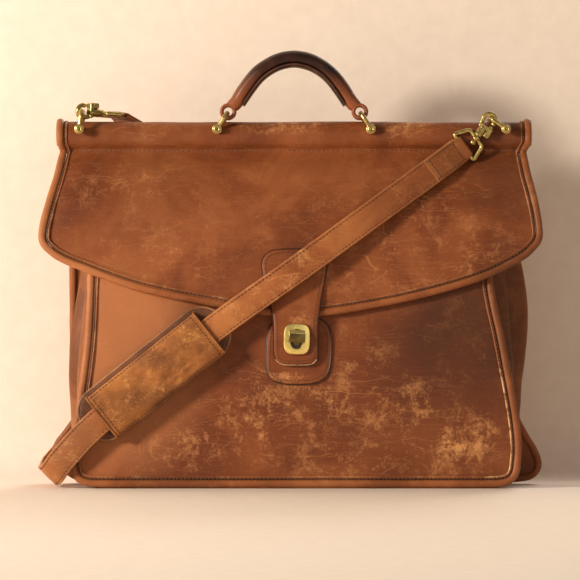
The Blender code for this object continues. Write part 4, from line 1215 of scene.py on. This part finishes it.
def make_pad_seams(outer):
    """The turned mouths of the cover and its rows of stitches."""
    long, half = PAD_COVER_LONG, PAD_COVER_HALF
    for sign in (-1, 1):
        route = [pad_point(sign * (long - 0.4), y - 0.2, over) for y, over in outer]
        outward = (pad_point(1, 0, 0) - pad_point(0, 0, 0)) * sign
        name = "pad_mouth_" + ("low" if sign < 0 else "high")
        edge = piece(name, band(route, [outward] * len(route), 1.0, 0.9, 10), NUBUCK, "pad")
        bm = bmesh.new()
        line = [pad_point(sign * (long - 4.2), y - 0.35, over) for y, over in outer][8:-8]
        stitches(bm, line, [Vector((0, -1, 0))] * len(line), 3.3, 2.4, 0.4)
        piece(name + "_stitches", bm, THREAD, "pad")
        bm = bmesh.new()
        line = [pad_point(a, PAD_TOP + 2.3, sign * (half - 1.6)) for a in range(-56, 57, 3)]
        stitches(bm, line, [Vector((0, -1, 0))] * len(line), 3.3, 2.4, 0.4)
        piece("pad_side_stitches_" + ("low" if sign < 0 else "high"), bm, THREAD, "pad")


# ---------- metal and what stays from the frame ----------

def smooth_metal(node, rounds, swell):
    """Rounds a faceted fitting, gives back the thickness that this takes, and gives it its brass."""
    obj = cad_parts[node]
    remesh = obj.modifiers.new("fine", "REMESH")
    remesh.mode = "VOXEL"
    remesh.voxel_size = VOXEL * MM
    remesh.use_smooth_shade = True
    relax = obj.modifiers.new("relax", "SMOOTH")
    relax.iterations = rounds
    relax.factor = 0.5
    grow = obj.modifiers.new("grow", "DISPLACE")
    grow.strength = swell * MM
    grow.mid_level = 0
    dress(obj, ANTIQUE)


def dress(obj, look):
    for slot in obj.material_slots:
        slot.material = look


def barrel(half_width, half_height, power, y, turn=1.5, steps=96):
    """A round-cornered outline with bulging sides, about the lock's centre."""
    ring = []
    for k in range(steps):
        angle = 2 * math.pi * k / steps
        c, s = math.cos(angle), math.sin(angle)
        x = half_width * soft(c, 2 / power)
        z = half_height * soft(s, 2 / power)
        point = Matrix.Rotation(math.radians(turn), 3, "Y") @ Vector((x, 0, z))
        ring.append(Vector((LOCK[0] + point.x, y, LOCK[1] + point.z)))
    return ring


def make_lock():
    rings = []
    for width, height, power, y in ((5.3, 8.2, 2.4, -58.2), (5.3, 8.2, 2.4, -59.6),
                                    (5.8, 8.7, 2.4, -60.0),
                                    (10.2, 12.1, 3.6, -60.1), (11.0, 12.9, 3.6, -59.8),
                                    (11.3, 13.2, 3.6, -59.2),
                                    (11.3, 13.2, 3.6, -58.2)):
        rings.append(barrel(width, height, power, y))
    bm = bmesh.new()
    skin(bm, rings, closed=True)
    obj = piece("lock_face", bm, BRIGHT_BRASS_AND_HIGHLIGHT, "flap", 35)
    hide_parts("lock_plate")
    # painted shadow: a dark plate inside the lock's slot stands in for the shade in the hole
    bm = bmesh.new()
    skin(bm, [barrel(5.6, 8.5, 2.4, -57.9), barrel(5.6, 8.5, 2.4, -58.4)])
    piece("lock_slot_shadow", bm, EDGE_PAINT_AND_SHADE, "flap", 35)
    make_toggle()


def rounded_block(bm, place, size, radius):
    bmesh.ops.create_cube(bm, size=1, matrix=place @ Matrix.Diagonal((*size, 1)))
    bmesh.ops.bevel(bm, geom=bm.edges[:], offset=radius, offset_type="OFFSET", segments=3, profile=0.5,
                    affect="EDGES", material=-1)


def make_toggle():
    """The turning wing with its upper bevel in bright brass as a painted highlight, on a round stub that
    stands in the slot.
    """
    tilt = Matrix.Rotation(math.radians(4), 4, "Y")
    bm = bmesh.new()
    place = Matrix.Translation((LOCK[0] + 0.2, -62.7, LOCK[1] + 1.0)) @ tilt
    rounded_block(bm, place, (14.2, 4.2, 7.8), 0.7)
    bmesh.ops.create_cone(bm, cap_ends=True, segments=28, radius1=2.8, radius2=2.8, depth=4.6,
                          matrix=Matrix.Translation((LOCK[0], -59.2, LOCK[1]
                                                     - 2.4)) @ Matrix.Rotation(math.pi / 2, 4, "X"))
    obj = piece("toggle_wing", bm, TOGGLE, "toggle", 35)
    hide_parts("lock_toggle")
    # painted highlight: bright brass on the upper bevel, where light from above catches the toggle
    bm = bmesh.new()
    place = Matrix.Translation((LOCK[0] + 0.1, -62.6,
                                LOCK[1] + 5.7)) @ tilt @ Matrix.Rotation(math.radians(-32), 4, "X")
    rounded_block(bm, place, (13.9, 2.6, 4.0), 0.6)
    piece("toggle_bevel_highlight", bm, BRIGHT_BRASS_AND_HIGHLIGHT, "toggle", 35)


def make_pin_rings():
    """The rolled rim on each pin head, and a flat dark disc in its middle as painted shade for the hole.
    """
    for node in ("handle_pin_left", "handle_pin_right", "strap_pin_left", "strap_pin_right"):
        low, high = (Vector(c) * 1000 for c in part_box(node))
        centre = (low + high) / 2
        rim, bore_shadow = bmesh.new(), bmesh.new()
        for y, out in ((low.y, -1), (high.y, 1)):
            rings = []
            for k in range(28):
                angle = 2 * math.pi * k / 28
                away = Vector((math.cos(angle), 0, math.sin(angle)))
                spot = Vector((centre.x, y + out * 0.15, centre.z)) + away * 2.0
                rings.append([spot + away * 0.8 * math.cos(q) + Vector((0, 0.7 * math.sin(q), 0))
                              for q in (2 * math.pi * j / 10 for j in range(10))])
            skin(rim, rings, closed=True)
            # painted shade: a flat dark disc stands in for the shade in the pin's hole
            place = Matrix.Translation((centre.x, y + out * 0.1,
                                        centre.z)) @ Matrix.Rotation(math.pi / 2, 4, "X")
            bmesh.ops.create_cone(bore_shadow, cap_ends=True, segments=20, radius1=1.5, radius2=1.5, depth=0.4,
                                  matrix=place)
            bmesh.ops.create_uvsphere(rim, u_segments=12, v_segments=8, radius=0.6,
                                      matrix=Matrix.Translation((centre.x, y + out * 0.3, centre.z)))
        piece(node + "_rim", rim, ANTIQUE, "case", 60)
        piece(node + "_bore", bore_shadow, EDGE_PAINT_AND_SHADE, "case", 60)


def make_fittings():
    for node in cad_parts:
        if node.startswith(("hook_", "strap_ring", "strap_shackle", "handle_shackle")):
            smooth_metal(node, 6, 0.9 if node.startswith("hook_left") else 0.45)
        elif node.startswith(("strap_pin", "handle_pin")):
            smooth_metal(node, 3, -0.1)
    make_lock()
    make_pin_rings()
    for node, look in (("lock_base", TOGGLE), ("lock_washer", ANTIQUE), ("lock_plate_back", BRIGHT_BRASS_AND_HIGHLIGHT),
                       ("base_stiffener", BOARD), ("top_bar", WOOD), ("pad_filling", FELT)):
        dress(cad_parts[node], look)


# ---------- stage ----------

def one_way(look):
    """A backdrop seen from its front only, which never blocks a lamp, so that the back shows too."""
    tree = look.node_tree
    geometry = add(tree, "ShaderNodeNewGeometry")
    path = add(tree, "ShaderNodeLightPath")
    either = math_node(tree, "MAXIMUM", geometry.outputs["Backfacing"], path.outputs["Is Shadow Ray"])
    clear = add(tree, "ShaderNodeBsdfTransparent")
    blend = add(tree, "ShaderNodeMixShader")
    join(tree, either, blend.inputs[0])
    join(tree, tree.nodes["Principled BSDF"].outputs[0], blend.inputs[1])
    join(tree, clear.outputs[0], blend.inputs[2])
    join(tree, blend.outputs[0], tree.nodes["Material Output"].inputs["Surface"])
    return look


def strip(name, profile, look):
    """A wide strip of stage through (y, z) points."""
    bm = bmesh.new()
    made = bmesh.ops.create_grid(bm, x_segments=1, y_segments=len(profile) - 1, size=1)["verts"]
    for index, vert in enumerate(made):
        y, z = profile[index // 2]
        vert.co = (-5000 if index % 2 == 0 else 5000, y, z)
    obj = piece(name, bm, look, None, 60)
    if obj.data.polygons[0].normal.z < 0:
        obj.data.flip_normals()


WALL_PAINT = ((0.81, 0.70, 0.60), (0.85, 0.74, 0.64), 70, 0.85, 0.1)


def make_stage():
    radius, behind = 50, 118
    profile = [(-6000, 0), (0, 0)]
    profile += [(behind - radius + radius * math.sin(math.radians(a)),
                 radius - radius * math.cos(math.radians(a)))
                for a in range(0, 91, 6)]
    profile += [(behind, 4500)]
    strip("ground", profile, one_way(plain("ground_paint", *WALL_PAINT)))
    strip("ground_behind", [(behind - radius, 0), (6000, 0)],
          plain("ground_paint_behind", *WALL_PAINT))


def lamp(name, place, target, size, power, color):
    data = bpy.data.lights.new(name, "AREA")
    data.shape = "DISK"
    data.size = size
    data.energy = power
    data.color = color
    obj = bpy.data.objects.new(name, data)
    obj.location = place
    obj.rotation_euler = (Vector(target) - Vector(place)).to_track_quat("-Z", "Y").to_euler()
    bpy.context.scene.collection.objects.link(obj)


SENSOR = 36
LENS = 284
CAMERA_PLACE = (-0.0035, -3.99, 0.1709)  # metres, as the lamps below


def make_light_and_camera():
    lamp("key", (-1.80, -1.30, 0.72), (0.0, 0.0, 0.17), 0.45, 62, (1.0, 0.90, 0.77))
    lamp("rear", (0.8, 2.4, 1.3), (0.0, 0.0, 0.17), 1.2, 34, (1.0, 0.92, 0.82))
    lamp("fill", (0.9, -2.4, 0.6), (0.0, 0.0, 0.16), 1.8, 6, (1.0, 0.90, 0.78))
    world = bpy.data.worlds.new("studio")
    world.use_nodes = True
    world.node_tree.nodes["Background"].inputs["Color"].default_value = (1.0, 0.90, 0.76, 1)
    world.node_tree.nodes["Background"].inputs["Strength"].default_value = 0.22
    bpy.context.scene.world = world
    bpy.context.scene.view_settings.view_transform = "Standard"
    data = bpy.data.cameras.new("camera")
    data.sensor_width = SENSOR
    data.lens = LENS
    data.clip_end = 100
    camera = bpy.data.objects.new("camera", data)
    camera.location = CAMERA_PLACE
    camera.rotation_euler = (math.radians(90), 0, 0)
    bpy.context.scene.collection.objects.link(camera)
    bpy.context.scene.camera = camera


make_case()
make_roll()
make_flap()
make_handle()
make_strap()
make_pad()
make_fittings()
make_stage()
make_light_and_camera()
bpy.context.view_layer.update()
